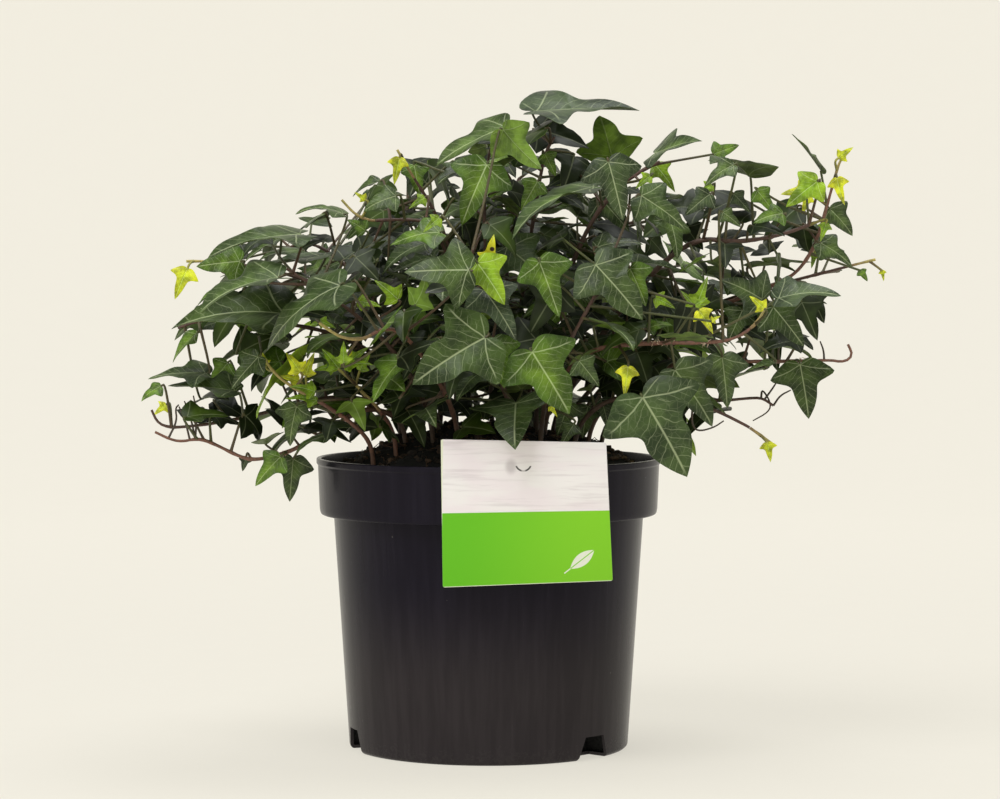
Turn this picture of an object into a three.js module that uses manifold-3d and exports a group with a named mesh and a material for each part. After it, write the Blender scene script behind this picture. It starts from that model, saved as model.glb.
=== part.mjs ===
// A potted English ivy with three-lobed leaves: a black nursery pot, its soil, a plant label and
// leafy stems that stand in the soil. Millimetres, +Z up, the front is -Y, and the origin is the
// middle of the pot's underside.
import * as THREE from "three";
import { mergeVertices } from "three/addons/utils/BufferGeometryUtils.js";
import Module from "manifold-3d";

const wasm = await Module();
wasm.setup();

// Driving sizes of the pot
const POT_HEIGHT = 160;
const RIM_RADIUS = 95;
const BASE_RADIUS = 77;
const BAND_FOOT = 129;
const BODY_TOP_RADIUS = 85.5;
const WALL = 1.8;
const FOOT_EDGE = 1.5;
const BAND_INSET = 1.8;
const BAND_BEVEL = 2.5;
const LIP = 0.8;
const LIP_HEIGHT = 3;
const POT_SIDES = 44;

// Drain notches at the pot's foot
const NOTCH_ANGLES = [-42.4, 77.6, 197.6];
const NOTCH_WIDTH = 25;
const NOTCH_TOP_WIDTH = 14.5;
const NOTCH_HEIGHT = 12.5;
const NOTCH_DEPTH = 14;
const NOTCH_OUTSIDE = 10;

// Soil
const SOIL_GAP = 0.3;
const SOIL_NOTCH_ROOM = 2;
const SOIL_EDGE = 149;
const SOIL_MOUND = 26;
const SOIL_LUMP = 2.5;
const SOIL_SIDES = 24;
const SOIL_RINGS = [0.78, 0.42];
const ROOT_DEPTH = 20;
const HOLE_PLAY = 0.7;
const HOLE_SPARE = 0.4;
const CUTTER = 70;

// Plant label
const CARD_WIDTH = 90;
const CARD_ABOVE_RIM = 15;
const CARD_HEIGHT = 76;
const CARD_SLOPE = 3.5;
const CARD_THICK = 0.8;
const CARD_CENTRE = 20;
const TONGUE_WIDTH = 10;
const TONGUE_GAP = 0.6;
const TONGUE_DEPTH = 26;
const TONGUE_RISE = 2;
const TONGUE_BEND = 1.2;
const TONGUE_INSIDE = 7;
const SLIT_PLAY = 0.5;

// Stems and leaves
const STEM_RADIUS = 1.9;
const STEM_END_RADIUS = 0.9;
const STEM_SIDES = 4;
const TIP_GAP = 0.3;
const ROUTE_PLAY = 0.7;
const PETIOLE_RADIUS = 0.75;
const BLADE_THICK = 0.9;
const BLADE_FOOT = 0.8;
const KNEE = 3;
const PETIOLE_SAG = 0.05;
const STRAIGHT = 0.5;
const LONG_PETIOLE = 34;
const BIG_BLADE = 37;
const SMALL_BLADE = 21;

// Where the plant is seen from, level with its lower leaves
const EYE = [0, -1775, 265];

// Room kept between pieces that don't grow on each other
const SPACING = 3;
const ROOM = 0.5;
const BLADE_REACH = 2.2;
const LINE_STEP = 2;
const LINE_REACH = 0.6;
const CELL = 7;

const SEED = 4711;

const plastic = new THREE.MeshStandardMaterial({ color: 0x15171a, roughness: 0.35, metalness: 0 });
const earth = new THREE.MeshStandardMaterial({ color: 0x2b1d14, roughness: 1, metalness: 0 });
const card = new THREE.MeshStandardMaterial({ color: 0xcfe0b4, roughness: 0.4, metalness: 0 });
const foliage = new THREE.MeshStandardMaterial({ color: 0x2f4a30, roughness: 0.45, metalness: 0 });
const youngGrowth = new THREE.MeshStandardMaterial({ color: 0xa9bb3c, roughness: 0.5, metalness: 0 });

// Each stem: its name, the length of its young end, and its route above the soil
const STEMS = [
  ["left_low", 0, [[-45, -20, 186], [-66, -26, 190], [-86, -30, 178], [-100, -32, 168], [-112, -34, 163],
    [-130, -36, 160], [-141, -36, 165], [-155, -38, 173], [-168, -40, 170], [-180, -41, 176]]],
  ["left_mid", 0, [[-52, 2, 184], [-78, 0, 196], [-110, -10, 188], [-139, -16, 181], [-165, -18, 177],
    [-180, -20, 178], [-184, -20, 187]]],
  ["left_out", 0, [[-37, 7, 196], [-60, -5, 217], [-90, -20, 231], [-120, -30, 236], [-150, -35, 238],
    [-168, -36, 232]]],
  ["left_high", 22, [[-27, -6, 196], [-48, -10, 226], [-82, -20, 252], [-118, -28, 264], [-148, -34, 268],
    [-163, -38, 268]]],
  ["upper_left", 22, [[-18, 2, 200], [-18, -12, 240], [-22, -28, 274], [-33, -38, 290], [-47, -41, 291],
    [-60, -41, 289], [-71, -41, 292], [-79, -41, 301]]],
  ["top_left", 18, [[-10, 12, 200], [-14, 8, 250], [-26, -2, 290], [-40, -8, 312], [-50, -10, 329]]],
  ["top_middle", 0, [[2, 3, 200], [-1, -10, 250], [-3, -18, 300], [0, -20, 328], [6, -18, 342]]],
  ["top_right", 0, [[14, 10, 200], [18, 4, 250], [26, -6, 298], [30, -12, 326], [36, -12, 336]]],
  ["upper_right", 0, [[26, -2, 200], [36, -10, 240], [52, -20, 284], [69, -24, 308], [84, -25, 318],
    [93, -24, 322]]],
  ["right_high", 0, [[38, 0, 196], [60, -12, 226], [88, -26, 262], [112, -36, 281], [133, -38, 278],
    [155, -36, 281], [167, -34, 285], [177, -32, 289]]],
  ["right_rising", 12, [[48, 12, 194], [80, 8, 216], [120, -3, 241], [150, -14, 252], [167, -20, 260],
    [178, -21, 276], [183, -21, 293], [187, -21, 308], [190, -20, 320], [193, -20, 325]]],
  ["right_mid", 16, [[30, -22, 200], [44, -46, 214], [58, -64, 222], [74, -70, 224], [94, -71, 225],
    [112, -71, 224], [126, -71, 225], [137, -70, 230], [144, -69, 237], [148, -68, 245]]],
  ["right_low", 0, [[54, -10, 192], [76, -18, 206], [110, -26, 214], [149, -30, 213], [168, -30, 215],
    [183, -30, 215], [193, -30, 213], [198, -30, 217], [195, -30, 223]]],
  ["right_hanging", 14, [[46, -34, 190], [68, -46, 197], [100, -58, 192], [118, -60, 190], [134, -60, 183],
    [151, -60, 171]]],
  ["right_twig", 0, [[62, 6, 186], [88, -4, 195], [122, -11, 191], [138, -14, 192], [149, -15, 194],
    [156, -15, 189]]],
  ["left_young", 34, [[-62, -44, 174], [-70, -50, 179], [-79, -56, 186], [-90, -60, 193], [-106, -62, 201],
    [-116, -62, 210], [-119, -62, 216]]],
  ["left_sprig", 26, [[-50, -36, 180], [-58, -48, 188], [-66, -56, 196], [-73, -61, 205]]],
  ["front_middle", 0, [[14, -46, 184], [10, -54, 194], [4, -62, 212], [-6, -74, 238], [-12, -82, 262],
    [-8, -84, 274]]],
  ["front_right", 0, [[28, -42, 190], [34, -66, 208], [46, -82, 232], [56, -88, 250], [62, -88, 266]]],
  ["front_left", 0, [[-30, -28, 194], [-48, -52, 218], [-70, -72, 240], [-90, -82, 254], [-106, -86, 264]]],
  ["front_twig", 30, [[-16, -46, 190], [-30, -72, 212], [-46, -94, 232], [-56, -100, 233], [-65, -103, 227],
    [-77, -104, 228], [-88, -105, 236]]],
  ["far_right", 14, [[40, 24, 196], [84, 20, 224], [130, 10, 247], [170, -2, 259], [196, -10, 265],
    [212, -12, 269]]],
];

// Stems of the far side fan out by a rule
const BACK_STEMS = 8;
const BACK_FIRST = 14;
const BACK_LAST = 166;
const BACK_ROOT = 36;
const BACK_REACH = [128, 112, 124, 104, 122, 108, 126, 118];
const BACK_TOP = [236, 292, 252, 318, 262, 304, 244, 280];

// Leaves seen from the front: the blade's foot and tip as across, up and back from the pot's axis,
// the way its upper face looks, and its tone: 0 dark, 1 green, 2 lime, 3 yellow. Across and up are
// measured on the plane through the pot's axis.
const LEAVES = [
  [[-104, 282, -70], [-155, 271, -85], [0, -0.22, 1], 0],
  [[-137, 268, -60], [-161, 265, -60], [0, -0.9, 0.3], 1],
  [[-166, 264, -45], [-173, 247, -45], [0, -1, 0.3], 3],
  [[-116, 259, -80], [-160, 241, -85], [-0.15, -0.3, 1], 0],
  [[-92, 270, -60], [-136, 262, -60], [0, -0.12, 1], 0],
  [[-113, 239, -60], [-175, 231, -60], [0, -0.45, 0.9], 0],
  [[-82, 255, -100], [-123, 220, -100], [-0.55, -0.45, 0.7], 0],
  [[-161, 228, -50], [-174, 212, -50], [-0.8, -0.5, 0.3], 1],
  [[-156, 206, -40], [-188, 204, -40], [0, -0.4, 1], 0],
  [[-140, 196, -45], [-177, 200, -45], [0, -0.35, 1], 0],
  [[-144, 212, -30], [-155, 198, -30], [0, -1, 0.3], 1],
  [[-127, 215, -35], [-142, 198, -35], [-0.5, -0.8, 0.3], 0],
  [[-181, 199, -40], [-192, 191, -40], [0, -0.7, 0.7], 1],
  [[-178, 189, -20], [-185, 183, -20], [0, -1, 0.3], 3],
  [[-123, 211, -60], [-125, 218, -60], [0, -1, 0.3], 3],
  [[-104, 207, -62], [-112, 218, -62], [0, -1, 0.3], 3],
  [[-101, 205, -58], [-96, 218, -58], [0, -1, 0.3], 3],
  [[-106, 188, -55], [-110, 166, -55], [-0.2, -0.9, 0.3], 0],
  [[-115, 160, -36], [-129, 144, -36], [-0.3, -0.9, 0.2], 1],
  [[-108, 159, -38], [-110, 135, -38], [0, -1, 0.2], 0],
  [[-134, 160, -34], [-136, 152, -34], [0, -1, 0.2], 0],
  [[-83, 209, -62], [-92, 220, -62], [0, -1, 0.3], 2],
  [[-79, 210, -66], [-75, 222, -66], [0, -1, 0.3], 3],
  [[-71, 208, -60], [-65, 218, -60], [0, -1, 0.3], 2],
  [[9, 342, -20], [-29, 322, -24], [-0.2, -0.4, 0.9], 0],
  [[-1, 321, -45], [-15, 288, -48], [0, -1, 0.25], 1],
  [[8, 340, -30], [29, 319, -34], [-0.6, 0.7, 0.4], 1],
  [[31, 327, -15], [37, 315, -15], [0, -1, 0.3], 1],
  [[-49, 325, -15], [-52, 310, -15], [0, -1, 0.3], 3],
  [[-60, 312, -30], [-75, 304, -30], [0, -0.3, 1], 0],
  [[-41, 321, -10], [-38, 304, -10], [0, -1, 0.3], 1],
  [[-35, 303, -28], [-44, 297, -28], [0, -1, 0.3], 2],
  [[-51, 304, -32], [-69, 296, -32], [0, -0.8, 0.5], 0],
  [[-68, 302, -44], [-74, 306, -44], [0, -1, 0.3], 3],
  [[-80, 294, -45], [-106, 295, -45], [0, -0.2, 1], 0],
  [[-68, 285, -50], [-78, 291, -50], [0, -1, 0.3], 1],
  [[-27, 284, -55], [-54, 276, -55], [0, -0.5, 0.8], 1],
  [[-27, 292, -50], [-36, 284, -50], [0, -1, 0.3], 2],
  [[0, 268, -88], [3, 283, -88], [0, -1, 0.2], 3],
  [[-6, 267, -98], [9, 244, -98], [0.1, -1, 0.2], 2],
  [[-11, 263, -90], [-46, 262, -90], [0, -0.9, 0.4], 0],
  [[-2, 226, -108], [-42, 200, -110], [0, -1, 0.3], 0],
  [[2, 224, -98], [9, 198, -100], [0.1, -1, 0.3], 1],
  [[-50, 247, -76], [-63, 258, -76], [0, -1, 0.3], 2],
  [[27, 312, -40], [18, 296, -40], [0, -1, 0.3], 1],
  [[58, 308, -50], [12, 283, -62], [-0.5, -0.25, 0.8], 0],
  [[26, 350, -20], [83, 351, -15], [0, -0.3, 1], 0],
  [[68, 325, 12], [61, 349, -8], [0, 1, 0.8], 1],
  [[66, 323, -62], [74, 291, -64], [0, -1, 0.3], 0],
  [[92, 327, -35], [117, 335, -58], [-0.2, -0.6, 0.8], 0],
  [[89, 315, -40], [81, 308, -40], [0, -1, 0.3], 2],
  [[92, 321, -26], [103, 306, -26], [0, -1, 0.3], 2],
  [[84, 304, -55], [109, 286, -58], [0, -0.9, 0.5], 0],
  [[61, 303, -28], [78, 284, -28], [0, -1, 0.3], 0],
  [[28, 268, -92], [39, 237, -94], [0.1, -1, 0.3], 1],
  [[60, 276, -75], [85, 278, -75], [0, -0.5, 0.85], 0],
  [[59, 266, -90], [85, 236, -96], [0, -1, 0.3], 0],
  [[78, 264, -108], [87, 243, -108], [0.2, -1, 0.2], 1],
  [[92, 248, -80], [103, 242, -80], [0, -1, 0.3], 2],
  [[24, 218, -108], [45, 184, -110], [0, -1, 0.3], 1],
  [[50, 213, -85], [61, 199, -85], [0, -1, 0.3], 0],
  [[77, 210, -90], [75, 193, -90], [0, -1, 0.3], 3],
  [[85, 193, -102], [110, 149, -106], [0.1, -1, 0.2], 0],
  [[103, 208, -75], [124, 177, -78], [0.2, -0.9, 0.3], 0],
  [[34, 188, -80], [38, 182, -80], [0, -1, 0.3], 3],
  [[124, 327, -15], [138, 332, -15], [0, -1, 0.3], 1],
  [[143, 316, -18], [122, 321, -52], [0, -0.2, 1], 0],
  [[135, 321, -66], [119, 309, -66], [0, -0.7, 0.6], 0],
  [[123, 310, -48], [115, 304, -48], [0, -1, 0.3], 2],
  [[122, 305, -60], [108, 293, -60], [0, -1, 0.3], 0],
  [[135, 305, -35], [144, 295, -35], [0, -1, 0.3], 0],
  [[148, 307, -46], [158, 294, -46], [0, -1, 0.3], 1],
  [[162, 294, -44], [146, 289, -48], [0, -0.8, 0.6], 1],
  [[129, 295, -50], [139, 287, -50], [0, -1, 0.3], 0],
  [[193, 325, -20], [201, 331, -20], [0, -1, 0.3], 3],
  [[183, 318, -15], [167, 338, -15], [0.8, -0.1, 0.6], 0],
  [[181, 312, -26], [164, 298, -26], [0, -1, 0.3], 2],
  [[192, 314, -26], [196, 299, -26], [-0.5, -0.9, 0.2], 3],
  [[188, 297, -26], [201, 282, -26], [0, -1, 0.3], 0],
  [[183, 278, -30], [201, 265, -30], [0, -0.7, 0.6], 0],
  [[205, 263, -12], [209, 257, -12], [0, -1, 0.3], 1],
  [[217, 263, -12], [218, 257, -12], [0, -1, 0.3], 3],
  [[159, 272, -36], [158, 253, -36], [1, -0.25, 0.1], 0],
  [[157, 243, -66], [174, 221, -66], [0, -1, 0.3], 0],
  [[160, 247, -55], [194, 249, -55], [0, -0.45, 0.9], 0],
  [[151, 247, -50], [128, 258, -50], [0, -1, 0.3], 0],
  [[152, 242, -76], [144, 249, -76], [0, -1, 0.3], 3],
  [[116, 241, -78], [124, 228, -78], [0, -1, 0.3], 3],
  [[115, 244, -66], [121, 260, -66], [0, -1, 0.3], 2],
  [[140, 241, -58], [132, 223, -58], [0, -1, 0.3], 0],
  [[172, 211, -40], [177, 181, -42], [0, -1, 0.3], 0],
  [[129, 215, -48], [132, 187, -50], [0, -1, 0.3], 0],
  [[157, 212, -40], [142, 207, -40], [0, -0.3, 1], 0],
  [[154, 168, -60], [156, 157, -60], [0, -1, 0.3], 3],
];

// A lobed blade's right-hand outline, from its foot to its tip, in blade lengths
const LOBE_BIG = [[0.26, -0.13], [0.56, 0.17], [0.24, 0.37], [0.24, 0.6], [0, 1]];
const LOBE_MIDDLE = [[0.26, -0.1], [0.54, 0.2], [0.22, 0.4], [0, 1]];
const LOBE_SMALL = [[0.46, 0.16], [0.22, 0.42], [0, 1]];
const HEART = [0, 0.34];

// Leaves that fill the bush behind those
const FILL_SPACING = 20;
const FILL_TRIES = 30;
const FILL_START = 0.3;
const BUSH_CENTRE = [8, 0, 235];
const BUSH_RADII = [185, 150, 108];

// The bush's outline from the front, as across and up on the plane through the pot's axis
const BUSH_OUTLINE = [
  [-162, 268], [-151, 280], [-125, 285], [-105, 284], [-104, 295], [-79, 299], [-70, 313],
  [-50, 326], [-29, 324], [-13, 339], [9, 348], [23, 341], [27, 355], [48, 359], [84, 352],
  [101, 344], [119, 333], [139, 332], [160, 324], [145, 312], [166, 311], [200, 314], [201, 282],
  [197, 268], [194, 248], [180, 222], [187, 209], [178, 182], [166, 203], [142, 205], [139, 187],
  [124, 176], [117, 180], [111, 151], [84, 174], [68, 180], [64, 192], [46, 184], [39, 169],
  [-27, 169], [-93, 164], [-106, 137], [-125, 145], [-140, 164], [-159, 175], [-181, 180],
  [-190, 192], [-186, 205], [-169, 218], [-176, 232], [-160, 247],
];
const SETTLE_STEPS = [0, -6, 6, -12, 12, -18, 18, -24, 24, -32, 32, -40, 40];

// Small vector helpers

const plus = (a, b, k = 1) => [a[0] + b[0] * k, a[1] + b[1] * k, a[2] + b[2] * k];
const minus = (a, b) => [a[0] - b[0], a[1] - b[1], a[2] - b[2]];
const scaled = (a, k) => [a[0] * k, a[1] * k, a[2] * k];
const dot = (a, b) => a[0] * b[0] + a[1] * b[1] + a[2] * b[2];
const cross = (a, b) => [
  a[1] * b[2] - a[2] * b[1],
  a[2] * b[0] - a[0] * b[2],
  a[0] * b[1] - a[1] * b[0],
];
const long = (a) => Math.sqrt(dot(a, a));
const unit = (a) => scaled(a, 1 / long(a));
const mix = (a, b, t) => plus(scaled(a, 1 - t), b, t);
const radians = (degrees) => (degrees * Math.PI) / 180;

// Evenly spread draws between 0 and 1 that are the same every time

function draws(seed) {
  let state = seed >>> 0;
  return () => {
    state = (state + 0x6d2b79f5) >>> 0;
    let t = state;
    t = Math.imul(t ^ (t >>> 15), t | 1);
    t ^= t + Math.imul(t ^ (t >>> 7), t | 61);
    return ((t ^ (t >>> 14)) >>> 0) / 4294967296;
  };
}

// Solids

function solid(geometry) {
  const bare = geometry.index ? geometry.toNonIndexed() : geometry;
  bare.deleteAttribute("normal");
  bare.deleteAttribute("uv");
  const merged = mergeVertices(bare, 1e-4);
  return new wasm.Manifold(
    new wasm.Mesh({
      numProp: 3,
      vertProperties: new Float32Array(merged.attributes.position.array),
      triVerts: new Uint32Array(merged.index.array),
    }),
  );
}

function meshOf(name, body, material) {
  const found = body.getMesh();
  const geometry = new THREE.BufferGeometry();
  geometry.setAttribute("position", new THREE.BufferAttribute(found.vertProperties.slice(), 3));
  geometry.setIndex(new THREE.BufferAttribute(found.triVerts.slice(), 1));
  geometry.computeVertexNormals();
  const mesh = new THREE.Mesh(geometry, material);
  mesh.name = name;
  return mesh;
}

function facets(points, triangles) {
  const geometry = new THREE.BufferGeometry();
  geometry.setAttribute("position", new THREE.Float32BufferAttribute(points.flat(), 3));
  geometry.setIndex(triangles.flat());
  return geometry;
}

// A tube through points, with a radius at each, closed at both ends
function tube(points, radii, sides) {
  const places = [];
  const triangles = [];
  let side = null;
  points.forEach((point, i) => {
    const before = points[Math.max(i - 1, 0)];
    const after = points[Math.min(i + 1, points.length - 1)];
    const along = unit(minus(after, before));
    const hint = side ?? (Math.abs(along[2]) > 0.9 ? [1, 0, 0] : [0, 0, 1]);
    side = unit(minus(hint, scaled(along, dot(hint, along))));
    const other = cross(along, side);
    for (let k = 0; k < sides; k += 1) {
      const turn = (2 * Math.PI * k) / sides;
      const out = plus(scaled(side, Math.cos(turn)), other, Math.sin(turn));
      places.push(plus(point, out, radii[i]));
    }
  });
  for (let i = 0; i + 1 < points.length; i += 1) {
    for (let k = 0; k < sides; k += 1) {
      const a = i * sides + k;
      const b = i * sides + ((k + 1) % sides);
      triangles.push([a, b, b + sides], [a, b + sides, a + sides]);
    }
  }
  const last = (points.length - 1) * sides;
  for (let k = 1; k + 1 < sides; k += 1) {
    triangles.push([0, k + 1, k], [last, last + k, last + k + 1]);
  }
  return facets(places, triangles);
}

// The pot: a turned shell with three notches cut through its foot

function potProfile() {
  const inside = (radius) => radius - WALL;
  return [
    [0, 0],
    [BASE_RADIUS - FOOT_EDGE, 0],
    [BASE_RADIUS, FOOT_EDGE],
    [BODY_TOP_RADIUS, BAND_FOOT],
    [RIM_RADIUS - BAND_BEVEL, BAND_FOOT],
    [RIM_RADIUS - BAND_INSET, BAND_FOOT + BAND_BEVEL],
    [RIM_RADIUS - LIP, POT_HEIGHT - LIP_HEIGHT - LIP],
    [RIM_RADIUS, POT_HEIGHT - LIP_HEIGHT],
    [RIM_RADIUS, POT_HEIGHT],
    [inside(RIM_RADIUS - LIP), POT_HEIGHT],
    [inside(RIM_RADIUS - BAND_INSET), BAND_FOOT + WALL],
    [inside(BODY_TOP_RADIUS), BAND_FOOT],
    [inside(BASE_RADIUS), WALL],
    [0, WALL],
  ].map(([radius, z]) => new THREE.Vector2(radius, z));
}

// A notch's block, wider at the foot, reaching from inside the wall to past its outside
function notch(angle, margin) {
  const half = NOTCH_WIDTH / 2 + margin;
  const halfTop = NOTCH_TOP_WIDTH / 2 + margin;
  const face = new THREE.Shape([
    new THREE.Vector2(-half, -WALL),
    new THREE.Vector2(half, -WALL),
    new THREE.Vector2(halfTop, NOTCH_HEIGHT + margin),
    new THREE.Vector2(-halfTop, NOTCH_HEIGHT + margin),
  ]);
  const depth = NOTCH_DEPTH + margin + NOTCH_OUTSIDE;
  const block = new THREE.ExtrudeGeometry(face, { depth, bevelEnabled: false });
  block.rotateX(Math.PI / 2);
  block.rotateZ(Math.PI / 2);
  block.translate(BASE_RADIUS - NOTCH_DEPTH - margin, 0, 0);
  block.rotateZ(radians(angle));
  return solid(block);
}

function pot() {
  let body = solid(new THREE.LatheGeometry(potProfile(), POT_SIDES).rotateX(Math.PI / 2));
  for (const angle of NOTCH_ANGLES) {
    body = body.subtract(notch(angle, 0));
  }
  return meshOf("pot", body, plastic);
}

// The soil: a root ball with a lumpy mound on top

function soilHeight(x, y) {
  const share = Math.min(Math.hypot(x, y) / (RIM_RADIUS - WALL - 1), 1);
  const lumps = Math.sin(x * 0.13 + 1) * Math.cos(y * 0.11) + Math.sin(x * 0.05 - y * 0.17);
  return SOIL_EDGE + SOIL_MOUND * (1 - share ** 2.2) + SOIL_LUMP * lumps * (1 - share ** 4);
}

function soilBlock() {
  const [shoulder, waist, floor] = potProfile().slice(10);
  const places = [[0, 0, floor.y + SOIL_GAP]];
  const edge = shoulder.x - SOIL_GAP;
  const levels = [
    [floor.x - SOIL_GAP, floor.y + SOIL_GAP],
    [waist.x - SOIL_GAP, waist.y + SOIL_GAP],
    [edge, shoulder.y + SOIL_GAP],
    [edge, SOIL_EDGE],
    ...SOIL_RINGS.map((share) => [edge * share, null]),
  ];
  for (const [radius, z] of levels) {
    for (let k = 0; k < SOIL_SIDES; k += 1) {
      const turn = (2 * Math.PI * k) / SOIL_SIDES;
      const x = radius * Math.cos(turn);
      const y = radius * Math.sin(turn);
      places.push([x, y, z ?? soilHeight(x, y)]);
    }
  }
  places.push([0, 0, soilHeight(0, 0)]);
  const triangles = [];
  const at = (level, k) => 1 + level * SOIL_SIDES + (k % SOIL_SIDES);
  for (let k = 0; k < SOIL_SIDES; k += 1) {
    triangles.push([0, at(0, k + 1), at(0, k)]);
    for (let level = 0; level + 1 < levels.length; level += 1) {
      triangles.push([at(level, k), at(level, k + 1), at(level + 1, k + 1)]);
      triangles.push([at(level, k), at(level + 1, k + 1), at(level + 1, k)]);
    }
    triangles.push([at(levels.length - 1, k), at(levels.length - 1, k + 1), places.length - 1]);
  }
  return solid(facets(places, triangles));
}

function soil(roots) {
  let body = soilBlock();
  for (const angle of NOTCH_ANGLES) {
    body = body.subtract(notch(angle, SOIL_NOTCH_ROOM));
  }
  for (const [x, y, foot] of roots) {
    const radius = STEM_RADIUS + HOLE_PLAY;
    const hole = new THREE.CylinderGeometry(radius, radius, CUTTER, STEM_SIDES);
    hole.rotateX(Math.PI / 2);
    hole.translate(x, y, foot - HOLE_SPARE + CUTTER / 2);
    body = body.subtract(solid(hole));
  }
  const slit = new THREE.BoxGeometry(TONGUE_WIDTH + 2 * SLIT_PLAY, CARD_THICK + 2 * SLIT_PLAY, CUTTER);
  slit.translate(CARD_CENTRE, tongueBack(), POT_HEIGHT - TONGUE_DEPTH - SLIT_PLAY + CUTTER / 2);
  body = body.subtract(solid(slit));
  return meshOf("soil", body, earth);
}

// The label: a card in front of the rim, with a tongue that folds over the rim into the soil

function rimFront(x) {
  return Math.sqrt(RIM_RADIUS ** 2 - x ** 2);
}

function cardFront() {
  return -RIM_RADIUS - TONGUE_GAP - CARD_THICK;
}

function tongueBack() {
  return -rimFront(CARD_CENTRE + TONGUE_WIDTH / 2) + TONGUE_INSIDE;
}

function label() {
  const wide = CARD_WIDTH / 2;
  const face = new THREE.Shape([
    new THREE.Vector2(-wide, CARD_ABOVE_RIM),
    new THREE.Vector2(-wide + 1, CARD_ABOVE_RIM - CARD_HEIGHT - CARD_SLOPE / 2),
    new THREE.Vector2(wide, CARD_ABOVE_RIM - CARD_HEIGHT + CARD_SLOPE / 2),
    new THREE.Vector2(wide - CARD_SLOPE, CARD_ABOVE_RIM - CARD_SLOPE / 2),
  ]);
  const cardBlock = new THREE.ExtrudeGeometry(face, { depth: CARD_THICK, bevelEnabled: false });
  cardBlock.rotateX(Math.PI / 2);
  cardBlock.translate(CARD_CENTRE, cardFront() + CARD_THICK, POT_HEIGHT);
  const top = POT_HEIGHT + TONGUE_RISE;
  const back = tongueBack();
  const front = cardFront() + CARD_THICK / 2;
  const half = CARD_THICK / 2;
  const fold = new THREE.Shape([
    new THREE.Vector2(front - half, top - TONGUE_BEND),
    new THREE.Vector2(front + half, top - TONGUE_BEND),
    new THREE.Vector2(front + TONGUE_BEND, top - half),
    new THREE.Vector2(back - TONGUE_BEND, top - half),
    new THREE.Vector2(back - half, top - TONGUE_BEND),
    new THREE.Vector2(back - half, POT_HEIGHT - TONGUE_DEPTH),
    new THREE.Vector2(back + half, POT_HEIGHT - TONGUE_DEPTH),
    new THREE.Vector2(back + half, top - half),
    new THREE.Vector2(back - half, top + half),
    new THREE.Vector2(front, top + half),
    new THREE.Vector2(front - half, top),
  ]);
  const tongue = new THREE.ExtrudeGeometry(fold, { depth: TONGUE_WIDTH, bevelEnabled: false });
  tongue.rotateX(Math.PI / 2);
  tongue.rotateZ(Math.PI / 2);
  tongue.translate(CARD_CENTRE - TONGUE_WIDTH / 2, 0, 0);
  return meshOf("label", solid(cardBlock).add(solid(tongue)), card);
}

// Stems: each route starts straight up out of the soil, and its corners are cut once

function cutCorners(route) {
  const found = [route[0]];
  for (let i = 0; i + 1 < route.length; i += 1) {
    found.push(mix(route[i], route[i + 1], 0.25), mix(route[i], route[i + 1], 0.75));
  }
  found.push(route[route.length - 1]);
  return found;
}

// The same line without the points that hardly bend it
function thinned(points) {
  const found = [points[0]];
  for (let i = 1; i + 1 < points.length; i += 1) {
    const from = found.at(-1);
    const along = unit(minus(points[i + 1], from));
    const gap = minus(points[i], from);
    if (long(minus(gap, scaled(along, dot(gap, along)))) > ROUTE_PLAY) {
      found.push(points[i]);
    }
  }
  found.push(points.at(-1));
  return found;
}

function backRoutes() {
  const found = [];
  for (let i = 0; i < BACK_STEMS; i += 1) {
    const turn = radians(BACK_FIRST + ((BACK_LAST - BACK_FIRST) * i) / (BACK_STEMS - 1));
    const at = (out, z) => [Math.cos(turn) * out, Math.sin(turn) * out, z];
    const reach = BACK_REACH[i];
    const top = BACK_TOP[i];
    const rise = top - 195;
    found.push([
      `back_${i + 1}`,
      0,
      [
        at(BACK_ROOT + 14 * (i % 2), 192),
        at(reach * 0.5, 195 + rise * 0.55),
        at(reach * 0.74, 195 + rise * 0.9),
        at(reach * 0.9, top),
        at(reach, top - 6),
      ],
    ]);
  }
  return found;
}

function lengthsAlong(points) {
  const found = [0];
  for (let i = 1; i < points.length; i += 1) {
    found.push(found[i - 1] + long(minus(points[i], points[i - 1])));
  }
  return found;
}

// The part of a line between two lengths along it
function stretch(points, from, to) {
  const lengths = lengthsAlong(points);
  const at = (s) => {
    let i = 0;
    while (i + 2 < points.length && lengths[i + 1] < s) {
      i += 1;
    }
    return mix(points[i], points[i + 1], (s - lengths[i]) / (lengths[i + 1] - lengths[i]));
  };
  const inner = points.filter((_, i) => lengths[i] > from + 0.5 && lengths[i] < to - 0.5);
  return [at(from), ...inner, at(to)];
}

function growStems() {
  const found = [];
  for (const [name, tip, above] of [...STEMS, ...backRoutes()]) {
    const [x, y] = above[0];
    const ground = soilHeight(x, y);
    const foot = ground - ROOT_DEPTH;
    const route = thinned(cutCorners([[x, y, foot], [x, y, ground + 12], ...above.slice(1)]));
    const total = lengthsAlong(route).at(-1);
    const radiusAt = (s) => STEM_RADIUS + (STEM_END_RADIUS - STEM_RADIUS) * (s / total);
    const parts = [[0, tip ? total - tip - TIP_GAP : total, false]];
    if (tip) {
      parts.push([total - tip, total, true]);
    }
    for (const [from, to, young] of parts) {
      const points = stretch(route, from, to);
      const radii = lengthsAlong(points).map((s) => radiusAt(from + s));
      found.push({ name: `stem_${name}${young ? "_tip" : ""}`, young, points, radii, leaves: [] });
    }
  }
  return found;
}

// Room: every piece leaves points behind, kept in cells, and a new piece stays clear of them

const cells = new Map();
const cellOf = (p) => [Math.floor(p[0] / CELL), Math.floor(p[1] / CELL), Math.floor(p[2] / CELL)];

function keep(points, reach, owner) {
  for (const point of points) {
    const key = cellOf(point).join();
    if (!cells.has(key)) {
      cells.set(key, []);
    }
    cells.get(key).push({ point, reach, owner });
  }
}

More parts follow.
